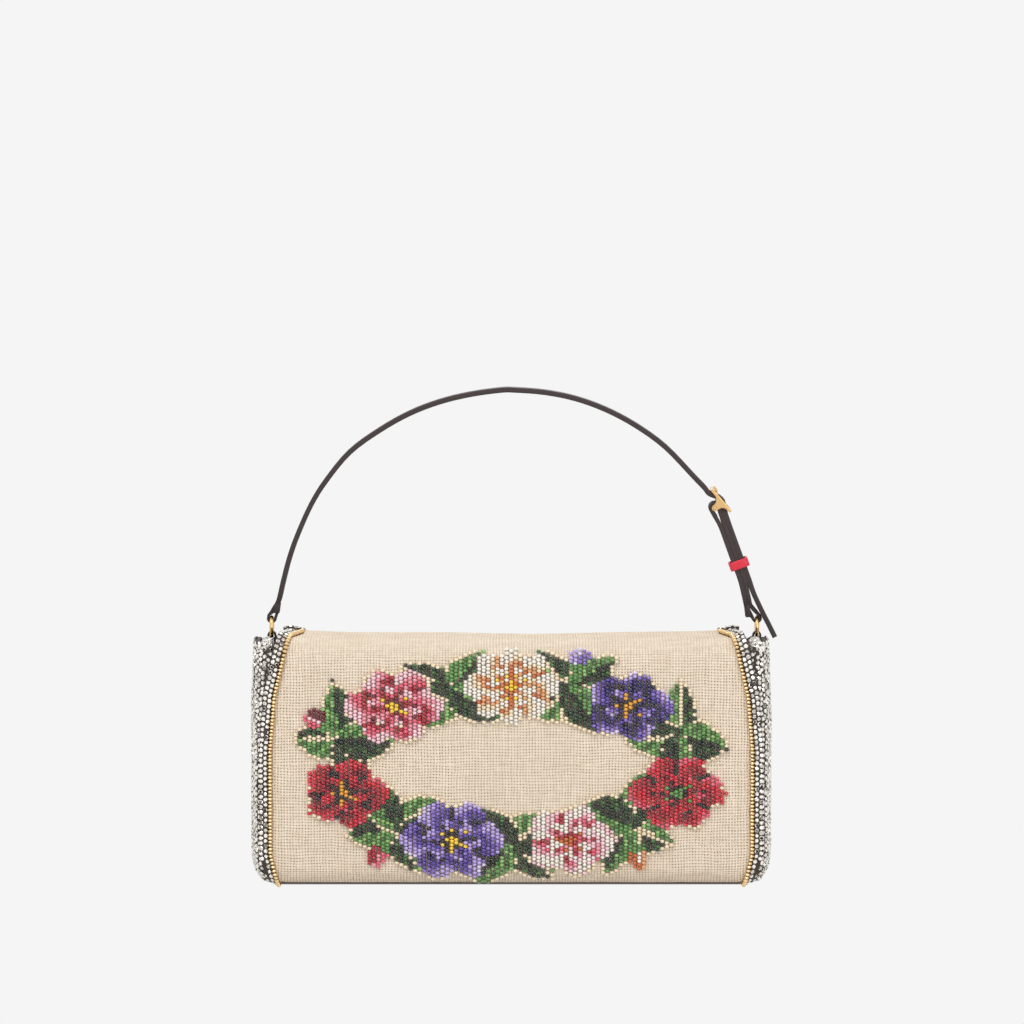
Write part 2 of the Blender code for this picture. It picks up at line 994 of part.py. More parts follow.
def leaf_length(turn):
    """How far the leaves reach at an angle from the wreath's outward direction."""
    near = min(abs(math.remainder(turn - tip, math.tau)) for tip in leaf_turns)
    return leaf_waist + (leaf_reach - leaf_waist) * max(0.0, 1.0 - near / leaf_spread)


def leaf_outline(centre, centres):
    """Leaves that point in and out across the wreath, cut short where a bloom begins."""
    out = math.atan2(
        (centre[1] - wreath_level) / wreath_half_height**2,
        centre[0] / wreath_half_width**2,
    )
    outline = []
    for i in range(leaf_points):
        turn = math.tau * i / leaf_points
        angle = out + turn
        reach = leaf_length(turn)
        step = reach / leaf_search_steps
        length = step
        while length < reach:
            x = centre[0] + (length + step) * math.cos(angle)
            z = centre[1] + (length + step) * math.sin(angle)
            if inside_bloom(x, z, centres, bead_layer / 2):
                break
            length += step
        outline.append(
            keep_on_flap(
                centre[0] + length * math.cos(angle), centre[1] + length * math.sin(angle)
            )
        )
    return outline


def make_wreath(parent):
    centres, gaps = bloom_centres()
    finishes = ("ivory_beads", "violet_beads", "rose_beads")
    patches = []
    for index, centre in enumerate(centres):
        outline = bloom_outline(index, centre)
        patches.append((f"bloom_{index + 1}", outline, finishes[index % len(finishes)]))
    for index, centre in enumerate(gaps):
        outline = leaf_outline(centre, centres)
        patches.append((f"leaves_{index + 1}", outline, "leaf_beads"))
    for name, outline, finish in patches:
        mesh = prism(name, outline, front_face_y - bead_layer, front_face_y, along="y")
        keep_place(add_object(name, mesh, finish), parent)


# Strap, rings and buckle


def make_ring(name, side, parent):
    """A round wire ring whose plane faces along X."""
    sections = []
    for i in range(ring_steps):
        turn = math.tau * i / ring_steps
        section = []
        for j in range(wire_steps):
            angle = math.tau * j / wire_steps
            reach = ring_radius + ring_wire * math.cos(angle)
            section.append(
                (
                    side * ring_x[side] + ring_wire * math.sin(angle),
                    ring_y + reach * math.cos(turn),
                    ring_z + reach * math.sin(turn),
                )
            )
        sections.append(section)
    ring = add_object(name, loft(name, sections, closed=True), "brass")
    keep_place(ring, parent)


def fold_reach():
    return ring_wire + fold_clearance + fold_leather / 2


def eased(share):
    """A share from 0 to 1 that starts and ends without a corner."""
    kept = min(1.0, max(0.0, share))
    return kept * kept * (3 - 2 * kept)


def at_strap(across, rise):
    """A place by its share of the body's half width and of the strap's rise."""
    return body_half_width * across, ring_z + strap_rise * rise


def buckle_frame_axes():
    """The upper end, the run and the outward normal of the buckle's plane."""
    run = Vector((math.sin(buckle_lean), -math.cos(buckle_lean)))
    return Vector(at_strap(*buckle_shares)), run, Vector((-run.y, run.x))


def at_buckle(along, outward):
    upper, run, out = buckle_frame_axes()
    place = upper + run * along + out * outward
    return place.x, place.y


def at_keeper(along, outward):
    """A place beside the keeper: along its slide, downwards, and out to the right."""
    run = Vector((math.sin(keeper_tilt), -math.cos(keeper_tilt)))
    out = Vector((math.cos(keeper_tilt), math.sin(keeper_tilt)))
    place = Vector(at_strap(*keeper_shares)) + run * along + out * outward
    return place.x, place.y


arch_shares = (
    (-0.9934, 0.0720),
    (-0.9708, 0.1123),
    (-0.9526, 0.1886),
    (-0.9263, 0.2902),
    (-0.8905, 0.3917),
    (-0.8337, 0.5186),
    (-0.7707, 0.6199),
    (-0.6724, 0.7392),
    (-0.5470, 0.8318),
    (-0.4219, 0.9025),
    (-0.2968, 0.9510),
    (-0.1717, 0.9817),
    (-0.0467, 0.9994),
    (0.0157, 1.0002),
    (0.1408, 0.9902),
    (0.2658, 0.9648),
    (0.3909, 0.9194),
    (0.5161, 0.8528),
    (0.6414, 0.7613),
    (0.7607, 0.6361),
)

# The free tail below the keeper, and the short strap's way down to its ring
tail_shares = (
    (1.0128, 0.1420),
    (1.0520, 0.0572),
    (1.0739, 0.0148),
    (1.1008, -0.0405),
)
foot_shares = ((0.9836, 0.1216), (0.9934, 0.0852))


def tail_points():
    return [at_strap(*share) for share in tail_shares]


def straight_points(outward):
    """Places along the keeper's slide, where the layers of the strap lie together."""
    ways = (-straight_above, -keeper_travel_room, 0.0, keeper_travel_room)
    return [at_keeper(way, outward) for way in ways]


def strap_long_line():
    """The long strap: folded round the left ring, over the arch, through the buckle."""
    reach = fold_reach()
    drop = wire_rise()
    centre = (-ring_x[-1], ring_wire_top - drop)
    turn = arc(centre, reach, 0.0, -math.pi, fold_steps)
    inner_end = (centre[0] + reach + fold_end_lean, ring_wire_top + fold_end_rise)
    under = (strap_thickness + buckle_bar) / 2 + strap_bar_clearance
    weave = [
        at_buckle(-buckle_bar * 2, -under),
        at_buckle(buckle_bar / 2, -under),
        at_buckle(buckle_reach / 2, strap_bar_clearance),
        at_buckle(buckle_reach, -under - strap_bar_clearance),
    ]
    straight = straight_points(long_offset)
    neck = (centre[0] - reach + gap, ring_wire_top + fold_leather)
    arch = [at_strap(*share) for share in arch_shares]
    route = [neck, *arch, *weave, *straight, *tail_points()]
    line = [inner_end] + turn[:-1] + smooth_line(route, strap_points_between)
    return line, 1 + len(turn[:-1])


def make_strap_long(parent):
    line, start = strap_long_line()
    along = lengths_along(line)
    thick = []
    wide = []
    for i in range(len(line)):
        way = max(0.0, along[i] - along[start])
        skived = eased(way / skiving_length)
        thick.append(fold_leather + (strap_thickness - fold_leather) * skived)
        wide.append(fold_width + (strap_width - fold_width) * eased(way / taper_length))
    strap = band("strap_long", line, thick, wide, "dark_leather")
    keep_place(strap, parent)
    cutters = [slot_cutter("prong_slot", prong_slot_start, prong_slot_end, 0.0)]
    for k in range(holes):
        cutters.append(hole_cutter(k))
    cut(strap, cutters)


def slot_cutter(name, start, end, inward):
    """A slit for the prong, square to the buckle's plane, from a depth outwards."""
    corners = [
        (start, inward - strap_width / 2),
        (end, inward - strap_width / 2),
        (end, inward + strap_width / 2),
        (start, inward + strap_width / 2),
    ]
    outline = [at_buckle(a, o) for a, o in corners]
    low = ring_y - prong_slot_width / 2
    high = ring_y + prong_slot_width / 2
    mesh = prism(name, outline, low, high, along="y", smooth=False)
    return add_object(name, mesh, "dark_leather")


def hole_cutter(k):
    """A round hole through the strap's free tail, square to the strap."""
    tail = [at_keeper(keeper_travel_room, long_offset), *tail_points()]
    line = smooth_line(tail, strap_points_between * 4)
    along = lengths_along(line)
    wanted = hole_pitch / 2 + hole_pitch * k
    index = min(range(len(line)), key=lambda n: abs(along[n] - wanted))
    normal = normals(line)[index]
    spot = Vector(line[index])
    sections = []
    for end in (-strap_thickness, strap_thickness):
        centre = spot + normal * end
        section = []
        for j in range(wire_steps):
            angle = math.tau * j / wire_steps
            run = Vector((normal.y, -normal.x)) * hole_radius * math.cos(angle)
            place = centre + run
            section.append((place.x, ring_y + hole_radius * math.sin(angle), place.y))
        sections.append(section)
    return add_object(f"hole_{k}", loft(f"hole_{k}", sections), "dark_leather")


def make_strap_short(parent):
    """The short strap: one closed loop of leather round the buckle's pin and the ring."""
    ring_centre = Vector((ring_x[1], ring_wire_top - wire_rise()))
    pin_centre = Vector(at_buckle(pin_along, -pin_inward))
    pin_reach = pin_radius + fold_clearance + short_leather / 2
    ring_reach = ring_wire + fold_clearance + fold_leather / 2
    middle = straight_points(short_offset)
    middle += [at_strap(*share) for share in foot_shares]
    centre_line = smooth_line(
        [tuple(pin_centre), *middle, tuple(ring_centre)], strap_points_between
    )
    along = lengths_along(centre_line)
    found = normals(centre_line)
    half = (short_leather + gap) / 2
    left = []
    right = []
    for point, normal, way in zip(centre_line, found, along):
        from_pin = way
        from_ring = along[-1] - way
        if from_pin < pin_reach or from_ring < ring_reach:
            continue
        near_pin = max(0.0, 1.0 - from_pin / (taper_length * pin_taper_share))
        near_ring = max(0.0, 1.0 - from_ring / (taper_length * ring_taper_share))
        spread = half + (pin_reach - half) * near_pin + (ring_reach - half) * near_ring
        left.append((tuple(Vector(point) + normal * spread), way))
        right.append((tuple(Vector(point) - normal * spread), way))
    start = math.atan2(found[0].y, found[0].x)
    pin_turn = arc(pin_centre, pin_reach, start, start + math.pi, fold_steps // 2)
    finish = math.atan2(-found[-1].y, -found[-1].x)
    ring_turn = arc(ring_centre, ring_reach, finish, finish + math.pi, fold_steps // 2)
    line = [(p, 0.0) for p in pin_turn]
    line += right
    line += [(p, along[-1]) for p in ring_turn]
    line += list(reversed(left))
    points = [p for p, way in line]
    thick = []
    wide = []
    for p, way in line:
        left_over = along[-1] - way
        skived = eased(left_over / skiving_length)
        thick.append(fold_leather + (short_leather - fold_leather) * skived)
        wide.append(fold_width + (strap_width - fold_width) * eased(left_over / taper_length))
    strap = band("strap_short", points, thick, wide, "dark_leather", closed=True)
    keep_place(strap, parent)
    reach = pin_reach + short_leather
    eye_slot = slot_cutter(
        "eye_slot", pin_along - reach * 2, pin_along + reach, -pin_inward
    )
    cut(strap, [eye_slot])


def lug_outline():
    """A lug from the frame in to the pin: filleted at its root, round at its end."""
    root = -buckle_bar / 2
    fillet = -lug_fillet + root
    side = lug_radius + lug_fillet
    outline = [(pin_along + side, 0.0), (pin_along - side, 0.0)]
    outline += arc((pin_along - side, fillet), lug_fillet, math.pi / 2, 0.0, arc_steps)
    outline += arc(
        (pin_along, -pin_inward), lug_radius, math.pi, math.tau, arc_steps
    )
    outline += arc(
        (pin_along + side, fillet), lug_fillet, math.pi, math.pi / 2, arc_steps
    )
    return outline


def make_buckle_frame(parent):
    """A plain rectangular frame with two lugs that reach in to hold the pin."""
    length = buckle_reach
    half = strap_width / 2 + buckle_side_clearance
    outer = half + buckle_side
    bar = buckle_bar / 2

    def slab(name, corners, low_y, high_y):
        outline = [at_buckle(a, o) for a, o in corners]
        mesh = prism(name, outline, ring_y + low_y, ring_y + high_y, along="y")
        return add_object(name, mesh, "brass")

    sides = arc((0.0, 0.0), bar, math.pi / 2, math.pi * 3 / 2, arc_steps)
    sides += arc((length, 0.0), bar, -math.pi / 2, math.pi / 2, arc_steps)
    frame = slab("buckle_frame", sides, -outer, outer)
    hole = [(bar, -bar * 3), (length - bar, -bar * 3), (length - bar, bar * 3), (bar, bar * 3)]
    cut(frame, [slab("buckle_window", hole, -half, half)])
    lugs = [
        slab("lug_front", lug_outline(), -outer, -half),
        slab("lug_back", lug_outline(), half, outer),
    ]
    cut(frame, lugs, "UNION")
    reach = pin_radius + pin_bore_clearance
    bore_centre = at_buckle(pin_along, -pin_inward)
    outline = arc(bore_centre, reach, 0.0, math.tau, wire_steps * 2)[:-1]
    bore = prism("pin_bore", outline, ring_y - outer * 2, ring_y + outer * 2, along="y")
    cut(frame, [add_object("pin_bore", bore, "brass")])
    keep_place(frame, parent)


def make_buckle_pin(parent):
    """The round pin between the lugs, which carries the short strap and the prong."""
    half = strap_width / 2 + buckle_side_clearance + buckle_side
    centre = at_buckle(pin_along, -pin_inward)
    outline = arc(centre, pin_radius, 0.0, math.tau, wire_steps * 2)[:-1]
    mesh = prism("buckle_pin", outline, ring_y - half, ring_y + half, along="y")
    pin = add_object("buckle_pin", mesh, "brass")
    keep_place(pin, parent)


def make_buckle_prong(parent):
    """A bent strip that hooks round the pin and rests on the frame's upper bar."""
    centre = Vector((pin_along, -pin_inward))
    reach = pin_radius + prong_pin_clearance + prong_thickness / 2
    rest = buckle_bar / 2 + gap + prong_thickness / 2
    tip = Vector((-prong_tip_overhang, rest))
    crest = Vector((buckle_bar / 2 + prong_thickness, rest))
    toward = crest - centre
    facing = math.atan2(toward.y, toward.x) - math.acos(reach / toward.length)
    hook = arc(centre, reach, facing - prong_eye_turn, facing, fold_steps)
    start = Vector(hook[-1])
    run = [tuple(start.lerp(crest, k / 3)) for k in range(1, 4)]
    line = [at_buckle(a, o) for a, o in hook + run + [tuple(tip)]]
    wide = [prong_width] * (len(line) - 1) + [prong_width / 2]
    prong = band("buckle_prong", line, [prong_thickness] * len(line), wide, "brass")
    place = at_buckle(pin_along, -pin_inward)
    hinge = pivot("prong_pivot", (place[0], ring_y, place[1]))
    keep_place(hinge, parent)
    keep_place(prong, hinge)


def make_keeper(parent):
    """A flat leather loop round both layers of the strap, free to slide on them."""
    half_out = keeper_half_width - keeper_wall
    half_y = strap_width / 2 + keeper_clearance
    corner = keeper_wall
    ring = []
    for sign_out, sign_y, first in ((1, 1, 0), (-1, 1, 1), (-1, -1, 2), (1, -1, 3)):
        centre = (sign_out * (half_out - corner), sign_y * (half_y - corner))
        start = first * math.pi / 2
        for k in range(4):
            angle = start + math.pi / 2 * k / 3
            ring.append((centre, math.cos(angle), math.sin(angle)))
    sections = []
    for centre, across, deep in ring:
        section = []
        for along, reach in (
            (-keeper_height / 2, corner),
            (-keeper_height / 2, corner + keeper_wall),
            (keeper_height / 2, corner + keeper_wall),
            (keeper_height / 2, corner),
        ):
            x, z = at_keeper(along, centre[0] + reach * across)
            section.append((x, ring_y + centre[1] + reach * deep, z))
        sections.append(section)
    keeper = add_object("keeper", loft("keeper", sections, closed=True), "red_leather")
    middle = at_keeper(0.0, 0.0)
    slide = pivot("keeper_place", (middle[0], ring_y, middle[1]))
    keep_place(slide, parent)
    keep_place(keeper, slide)


def main():
    clear_scene()
    make_back_panel()
    make_front_wall()
    make_front_binding()
    make_base()
    make_lining()
    make_slip_pocket()
    make_gusset("gusset_left", -1)
    make_gusset("gusset_right", 1)
    make_corner("corner_left", -1)
    make_corner("corner_right", 1)
    make_ring_tab("ring_tab_left", -1)
    make_ring_tab("ring_tab_right", 1)
    fold = pivot("flap_pivot", (0.0, hinge_y, hinge_z))
    make_magnets(fold)
    make_flap(fold)
    make_wreath(fold)
    swing = pivot("strap_pivot", (0.0, ring_y, ring_z))
    make_ring("ring_left", -1, swing)
    make_ring("ring_right", 1, swing)
    make_strap_long(swing)
    make_strap_short(swing)
    make_buckle_frame(swing)
    make_buckle_pin(swing)
    make_buckle_prong(swing)
    make_keeper(swing)


main()
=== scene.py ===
import json
import math

import bmesh
import bpy
import numpy as np
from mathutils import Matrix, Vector
from mathutils.bvhtree import BVHTree


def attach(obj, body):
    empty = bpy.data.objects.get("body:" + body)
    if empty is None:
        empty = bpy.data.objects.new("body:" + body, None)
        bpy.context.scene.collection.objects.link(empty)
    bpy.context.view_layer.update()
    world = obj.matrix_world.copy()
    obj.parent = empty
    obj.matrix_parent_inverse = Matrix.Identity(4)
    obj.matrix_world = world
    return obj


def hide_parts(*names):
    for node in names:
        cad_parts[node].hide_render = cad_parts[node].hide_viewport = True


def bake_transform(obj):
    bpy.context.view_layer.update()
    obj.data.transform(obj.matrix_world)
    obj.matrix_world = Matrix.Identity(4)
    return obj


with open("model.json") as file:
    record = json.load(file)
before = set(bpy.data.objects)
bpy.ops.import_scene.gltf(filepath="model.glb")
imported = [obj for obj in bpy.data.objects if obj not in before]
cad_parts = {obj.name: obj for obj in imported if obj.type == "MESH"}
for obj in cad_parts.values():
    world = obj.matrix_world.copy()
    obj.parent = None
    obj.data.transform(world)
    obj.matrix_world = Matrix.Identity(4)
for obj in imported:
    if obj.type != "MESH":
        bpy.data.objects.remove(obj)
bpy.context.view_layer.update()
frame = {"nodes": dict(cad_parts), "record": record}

bl_info = {
    "name": "Flap handbag",
    "version": (1, 0, 0),
    "blender": (4, 5, 0),
    "location": "3D View > Sidebar > Handbag",
    "description": "Cloth, beads, stones, leather and metal of a small flap handbag",
    "category": "Object",
}

SIDES = (("left", -1), ("right", 1))

# Bag sizes, in metres
HEIGHT = 0.127
FRONT_Y = -0.0293
HINGE_Y = 0.002
STRIP_DEPTH = 0.0060
TOP_ROUND = 0.0100
HEM_ROUND = 0.0110
HEM_TURN = math.radians(64)
HEM_LEVEL = 0.01181
HEM_LENGTH = 0.0026
ARC_STEPS = 12
RING_Y = 0.0175

# Sag of the soft top between its ends, and how far down it reaches
TOP_SAG = 0.0017
SAG_HALF_WIDTH = 0.104
SAG_DEPTH = 0.012
SAG_UNEVEN = 0.22
BAND_REACH = 0.100
BAND_WIDTH = 0.010

# Half widths of the linen and of the whole flap at lengths along the flap
FLAP_PLACES = (0.0, 0.0213, 0.0370, 0.0560, 0.0840, 0.1360, 0.1545)
LINEN_HALVES = (0.1050, 0.1105, 0.1143, 0.1187, 0.1210, 0.1210, 0.1168)
FLAP_HALVES = (0.1134, 0.1169, 0.1206, 0.1244, 0.1266, 0.1266, 0.1212)


# Shared tools

FINE_RELIEF = 0.0001
BEVEL_STEPS = 3
BEVEL_ANGLE = math.radians(38)


def linear(colour):
    """A colour given as 0 to 255 in sRGB, as linear values with alpha."""
    shares = [value / 255 for value in colour]
    found = [
        s / 12.92 if s <= 0.04045 else ((s + 0.055) / 1.055) ** 2.4 for s in shares
    ]
    return (*found, 1.0)


class Value:
    """A node's output, to be reckoned with like a number."""

    def __init__(self, nodes, socket):
        self.nodes = nodes
        self.socket = socket

    def __add__(self, other):
        return self.nodes.math("ADD", self, other)

    def __sub__(self, other):
        return self.nodes.math("SUBTRACT", self, other)

    def __rsub__(self, other):
        return self.nodes.math("SUBTRACT", other, self)

    def __mul__(self, other):
        return self.nodes.math("MULTIPLY", self, other)

    def __pow__(self, other):
        return self.nodes.math("POWER", self, other)

    def __gt__(self, other):
        return self.nodes.math("GREATER_THAN", self, other)

    def held(self):
        """The same value, held between 0 and 1."""
        self.socket.node.use_clamp = True
        return self


class Nodes:
    """A node tree, built by short calls."""

    def __init__(self, tree):
        self.tree = tree

    def add(self, kind, **values):
        node = self.tree.nodes.new(f"ShaderNode{kind}")
        for key, value in values.items():
            if key in node.inputs:
                node.inputs[key].default_value = value
            else:
                setattr(node, key, value)
        return node

    def link(self, out, into):
        self.tree.links.new(out.socket if isinstance(out, Value) else out, into)

    def feed(self, sockets, values):
        """Gives each input a plain value or another node's output."""
        for socket, value in zip(sockets, values):
            if isinstance(value, (int, float, tuple)):
                socket.default_value = value
            else:
                self.link(value, socket)

    def math(self, operation, *values):
        node = self.add("Math", operation=operation)
        self.feed(node.inputs, values)
        return Value(self, node.outputs[0])

    def mix(self, share, a, b):
        node = self.add("Mix", data_type="RGBA")
        self.feed((node.inputs[0], node.inputs[6], node.inputs[7]), (share, a, b))
        return node.outputs[2]

    def noise(self, vector, scale, detail=2.0):
        node = self.add("TexNoise", Scale=scale, Detail=detail)
        self.link(vector, node.inputs["Vector"])
        return Value(self, node.outputs[0])

    def axes(self, vector):
        node = self.add("SeparateXYZ")
        self.link(vector, node.inputs[0])
        return [Value(self, socket) for socket in node.outputs]


class Look(Nodes):
    """A material by its name, made where there is none yet.

    Its colour is three values from 0 to 255 in sRGB, or four linear ones.
    """

    def __init__(self, name, colour, roughness, metallic=0.0):
        tint = linear(colour) if len(colour) == 3 else tuple(colour)
        self.material = bpy.data.materials.get(name)
        self.fresh = self.material is None
        if self.fresh:
            self.material = bpy.data.materials.new(name)
            self.material.use_nodes = True
        super().__init__(self.material.node_tree)
        self.shader = self.tree.nodes["Principled BSDF"]
        self.material.diffuse_color = tint
        self.set("Base Color", tint)
        self.set("Roughness", roughness)
        self.set("Metallic", metallic)

    def set(self, name, value):
        self.feed([self.shader.inputs[name]], [value])

    def place(self):
        return self.add("TexCoord").outputs["Object"]

    def bump(self, height, distance, strength):
        node = self.add("Bump", Distance=distance, Strength=strength)
        self.link(height, node.inputs["Height"])
        self.set("Normal", node.outputs[0])


def plain_material(name, colour, roughness, metallic=0.0, coat=0.0):
    look = Look(name, colour, roughness, metallic)
    look.set("Coat Weight", coat)
    look.set("Coat Roughness", 0.1)
    return look.material


def textured(name, colour, roughness, kind, output, strength, **values):
    """A material with a fine relief that one texture gives it."""
    look = Look(name, colour, roughness)
    if look.fresh:
        texture = look.add(kind, **values)
        look.link(look.place(), texture.inputs["Vector"])
        look.bump(texture.outputs[output], FINE_RELIEF, strength)
    return look.material


def leather_material(name, colour, roughness):
    return textured(name, colour, roughness, "TexVoronoi", "Distance", 0.35, Scale=1600.0)


def twill_material(name, colour):
    diagonal = {"Scale": 420.0, "Distortion": 0.4, "bands_direction": "DIAGONAL"}
    return textured(name, colour, 0.8, "TexWave", "Fac", 0.4, **diagonal)


# The linen's darker thread, the painted shade of its pinholes and grooves, and the numbers of
# its weave
LINEN_SHADE = (214, 190, 162)
LINEN_HOLE_SHADE = (92, 66, 48)
WANDER_SCALE = 70.0
WANDER_REACH = 1.2
PIN_FADE = 0.016
PIN_POWER = 3.0
GROOVE_POWER = 4.0
GROOVE_SHADE = 0.10
SLUB_STRETCHES = ((70.0, 70.0, 900.0), (900.0, 900.0, 70.0))
SLUB_FROM = 0.36
SLUB_SHADE = 1.5
PATCH_SCALE = 300.0
WEAVE_RELIEF = 0.0004


def linen_material():
    """A coarse plain weave: crossing threads, slubs, and a pinhole at each crossing; the
    pinholes and the grooves between threads get painted shade.
    """
    pale = tuple(bpy.context.scene.handbag_colours.linen)
    look = Look("linen_cloth", pale, 0.9)
    if not look.fresh:
        return look.material
    look.set("Specular IOR Level", 0.2)
    pitch = bpy.context.scene.handbag_cloth.weave_pitch
    place = look.place()
    x, y, z = look.axes(place)
    bend = (look.noise(place, WANDER_SCALE) - 0.5) * (pitch * WANDER_REACH)

    # The run follows the cloth round both bends, so it turns over half way up
    run = z + (y - FRONT_Y) * ((z > HEIGHT / 2) * 2.0 - 1.0)
    turns = [value * (math.tau / pitch) for value in (x + bend, run - bend)]
    waves = [look.math("COSINE", turn) * 0.5 + 0.5 for turn in turns]
    pins = (waves[0] * waves[1]) ** PIN_POWER
    grooves = look.math("MAXIMUM", *[wave**GROOVE_POWER for wave in waves])

    slubs = []
    for stretch in SLUB_STRETCHES:
        scaled = look.add("Mapping", Scale=stretch)
        look.link(place, scaled.inputs["Vector"])
        slubs.append(look.noise(scaled.outputs[0], 1.0, 1.0))
    slub = (slubs[0] + slubs[1]) * 0.5

    # Painted shade: the pinholes turn dark brown and the grooves between threads darker; the
    # pinholes fade out near the top edge
    patches = (look.noise(place, PATCH_SCALE) * 3.0 - 0.7).held()
    nearness = look.math("DIVIDE", HEIGHT - z, PIN_FADE).held()
    depth = (pins * patches * nearness).held()
    thread = ((slub - SLUB_FROM) * SLUB_SHADE).held()
    tone = (grooves * GROOVE_SHADE + thread).held()
    cloth = look.mix(tone, pale, linear(LINEN_SHADE))
    look.set("Base Color", look.mix(depth, cloth, linear(LINEN_HOLE_SHADE)))
    look.bump(slub * 0.8 - (grooves * 0.5 + pins), WEAVE_RELIEF, 0.8)
    return look.material


def placed(name, data):
    """An object with some data, put into the scene."""
    made = bpy.data.objects.new(name, data)
    bpy.context.scene.collection.objects.link(made)
    return made


def look_along(thing, way):
    thing.rotation_euler = way.to_track_quat("-Z", "Y").to_euler()


def mesh_object(name, points, faces, materials, index=None, smooth=True):
    """A mesh from arrays, its faces in the given materials."""
    mesh = bpy.data.meshes.new(name)
    mesh.from_pydata([tuple(p) for p in points], [], [tuple(f) for f in faces])
    for material in materials:
        mesh.materials.append(material)
    if index is not None:
        mesh.polygons.foreach_set("material_index", np.asarray(index, np.int32))
    mesh.polygons.foreach_set("use_smooth", np.full(len(mesh.polygons), smooth))
    mesh.update()
    return placed(name, mesh)


def grid_faces(rows, columns, start=0, flip=False, wrap=False):
    found = []
    for r in range(rows - 1):
        for c in range(columns - (0 if wrap else 1)):
            a = start + r * columns + c
            b = start + r * columns + (c + 1) % columns
            face = (a, b, b + columns, a + columns)
            found.append(face[::-1] if flip else face)
    return found


def tube_faces(rows, sides):
    """Faces of a round shape made of rings, closed at both its ends."""
    faces = grid_faces(rows, sides, wrap=True)
    faces.append(tuple(reversed(range(sides))))
    faces.append(tuple(range((rows - 1) * sides, rows * sides)))
    return faces


def ring(reach, height, sides):
    """Points of a level ring round the third direction."""
    turns = [math.tau * k / sides for k in range(sides)]
    return [(reach * math.cos(a), reach * math.sin(a), height) for a in turns]


def bead_shape(sides=10, rings=6, power=2.25):
    """A rounded barrel of unit size, its axis along the third direction."""
    points = []
    for r in range(rings + 1):
        lean = -math.pi / 2 + math.pi * r / rings
        height = math.copysign(abs(math.sin(lean)) ** (2 / power), lean)
        points += ring(abs(math.cos(lean)) ** (2 / power), height, sides)
    return points, tube_faces(rings + 1, sides)


def copies(shape, places, frames, scales):
    """Points and faces of many copies of one small shape, each in its own frame."""
    points, faces = shape
    points = np.asarray(points, float)
    count = len(points)
    moved = np.einsum("nij,nkj->nki", frames, points[None] * scales[:, None, :])
    moved += places[:, None, :]
    found = []
    for k in range(len(places)):
        found += [tuple(k * count + i for i in face) for face in faces]
    return moved.reshape(-1, 3), found


def frames_on(normals, upward=(0.0, 0.0, 1.0), turns=None):
    """Frames whose third direction is each normal, as matrices of column directions."""
    out = normals / np.linalg.norm(normals, axis=1, keepdims=True)
    side = np.cross(np.asarray(upward, float), out)
    side /= np.maximum(np.linalg.norm(side, axis=1, keepdims=True), 1e-9)
    up = np.cross(out, side)
    if turns is not None:
        c, s = np.cos(turns)[:, None], np.sin(turns)[:, None]
        side, up = side * c + up * s, up * c - side * s
    return np.stack([side, up, out], axis=2)


def join_shapes(parts):
    """One list of points, faces and face materials from several of them."""
    points, faces, index = [], [], []
    for part_points, part_faces, part_index in parts:
        start = sum(len(p) for p in points)
        points.append(np.asarray(part_points, float))
        faces += [tuple(start + i for i in face) for face in part_faces]
        index += list(part_index)
    return np.concatenate(points), faces, index


def cad_shape(node):
    """Points and faces of a node's solid, with its split corners welded."""
    mesh = frame["nodes"][node].data
    seen = {}
    turn = []
    for vertex in mesh.vertices:
        key = tuple(round(c, 6) for c in vertex.co)
        turn.append(seen.setdefault(key, len(seen)))
    faces = []
    for polygon in mesh.polygons:
        face = [turn[i] for i in polygon.vertices]
        if len(set(face)) == len(face):
            faces.append(face)
    return np.array(list(seen), float), faces


def cad_tree(node):
    points, faces = cad_shape(node)
    return BVHTree.FromPolygons([Vector(p) for p in points], faces)


def cad_slot(node):
    rows = frame["record"]["subparts"]
    return next(row["material_slot"] for row in rows if row["node"] == node)


def cast_on(tree, starts, ways):
    """Where rays meet a solid, and its normals there, turned against the rays."""
    places, normals = [], []
    for start, way in zip(starts, ways):
        way = Vector(way)
        hit, normal, _, _ = tree.ray_cast(Vector(start), way)
        if hit is not None:
            places.append(hit)
            normals.append(normal if normal.dot(way) < 0 else -normal)
    return np.array(places), np.array(normals)


def cast_down(tree, starts):
    return cast_on(tree, starts, [(0.0, 0.0, -1.0)] * len(starts))


def as_bmesh(points, faces):
    """A shape that can be worked on, and its corners in their order."""
    shape = bmesh.new()
    made = [shape.verts.new(p) for p in points]
    for face in faces:
        shape.faces.new([made[i] for i in face])
    return shape, made


def swollen(points, faces, swell):
    """The points of a shape, each moved out by about the same amount on all its faces."""
    shape, made = as_bmesh(points, faces)
    shape.normal_update()
    moved = np.array([v.co + v.normal * swell * v.calc_shell_factor() for v in made])
    shape.free()
    return moved


def sliced(points, faces):
    """The same shape, cut across into narrow bands so that it can sag in a curve."""
    shape, _ = as_bmesh(points, faces)
    for x in np.arange(-BAND_REACH, BAND_REACH, BAND_WIDTH):
        everything = [*shape.verts, *shape.edges, *shape.faces]
        bmesh.ops.bisect_plane(shape, geom=everything, plane_co=(x, 0, 0), plane_no=(1, 0, 0))
    shape.verts.index_update()
    points = np.array([v.co[:] for v in shape.verts])
    faces = [tuple(v.index for v in face.verts) for face in shape.faces]
    shape.free()
    return points, faces


def sagged(points):
    """Points of the soft top, let down towards the middle of the bag's width."""
    points = np.array(points, float)
    across = np.clip(1 - (points[:, 0] / SAG_HALF_WIDTH) ** 2, 0, 1)
    level = np.clip((points[:, 2] - HEIGHT + SAG_DEPTH) / SAG_DEPTH, 0, 1)
    uneven = 1 + SAG_UNEVEN * np.sin(points[:, 0] * 61 + 0.8)
    points[:, 2] -= TOP_SAG * uneven * across**0.6 * level * level * (3 - 2 * level)
    return points


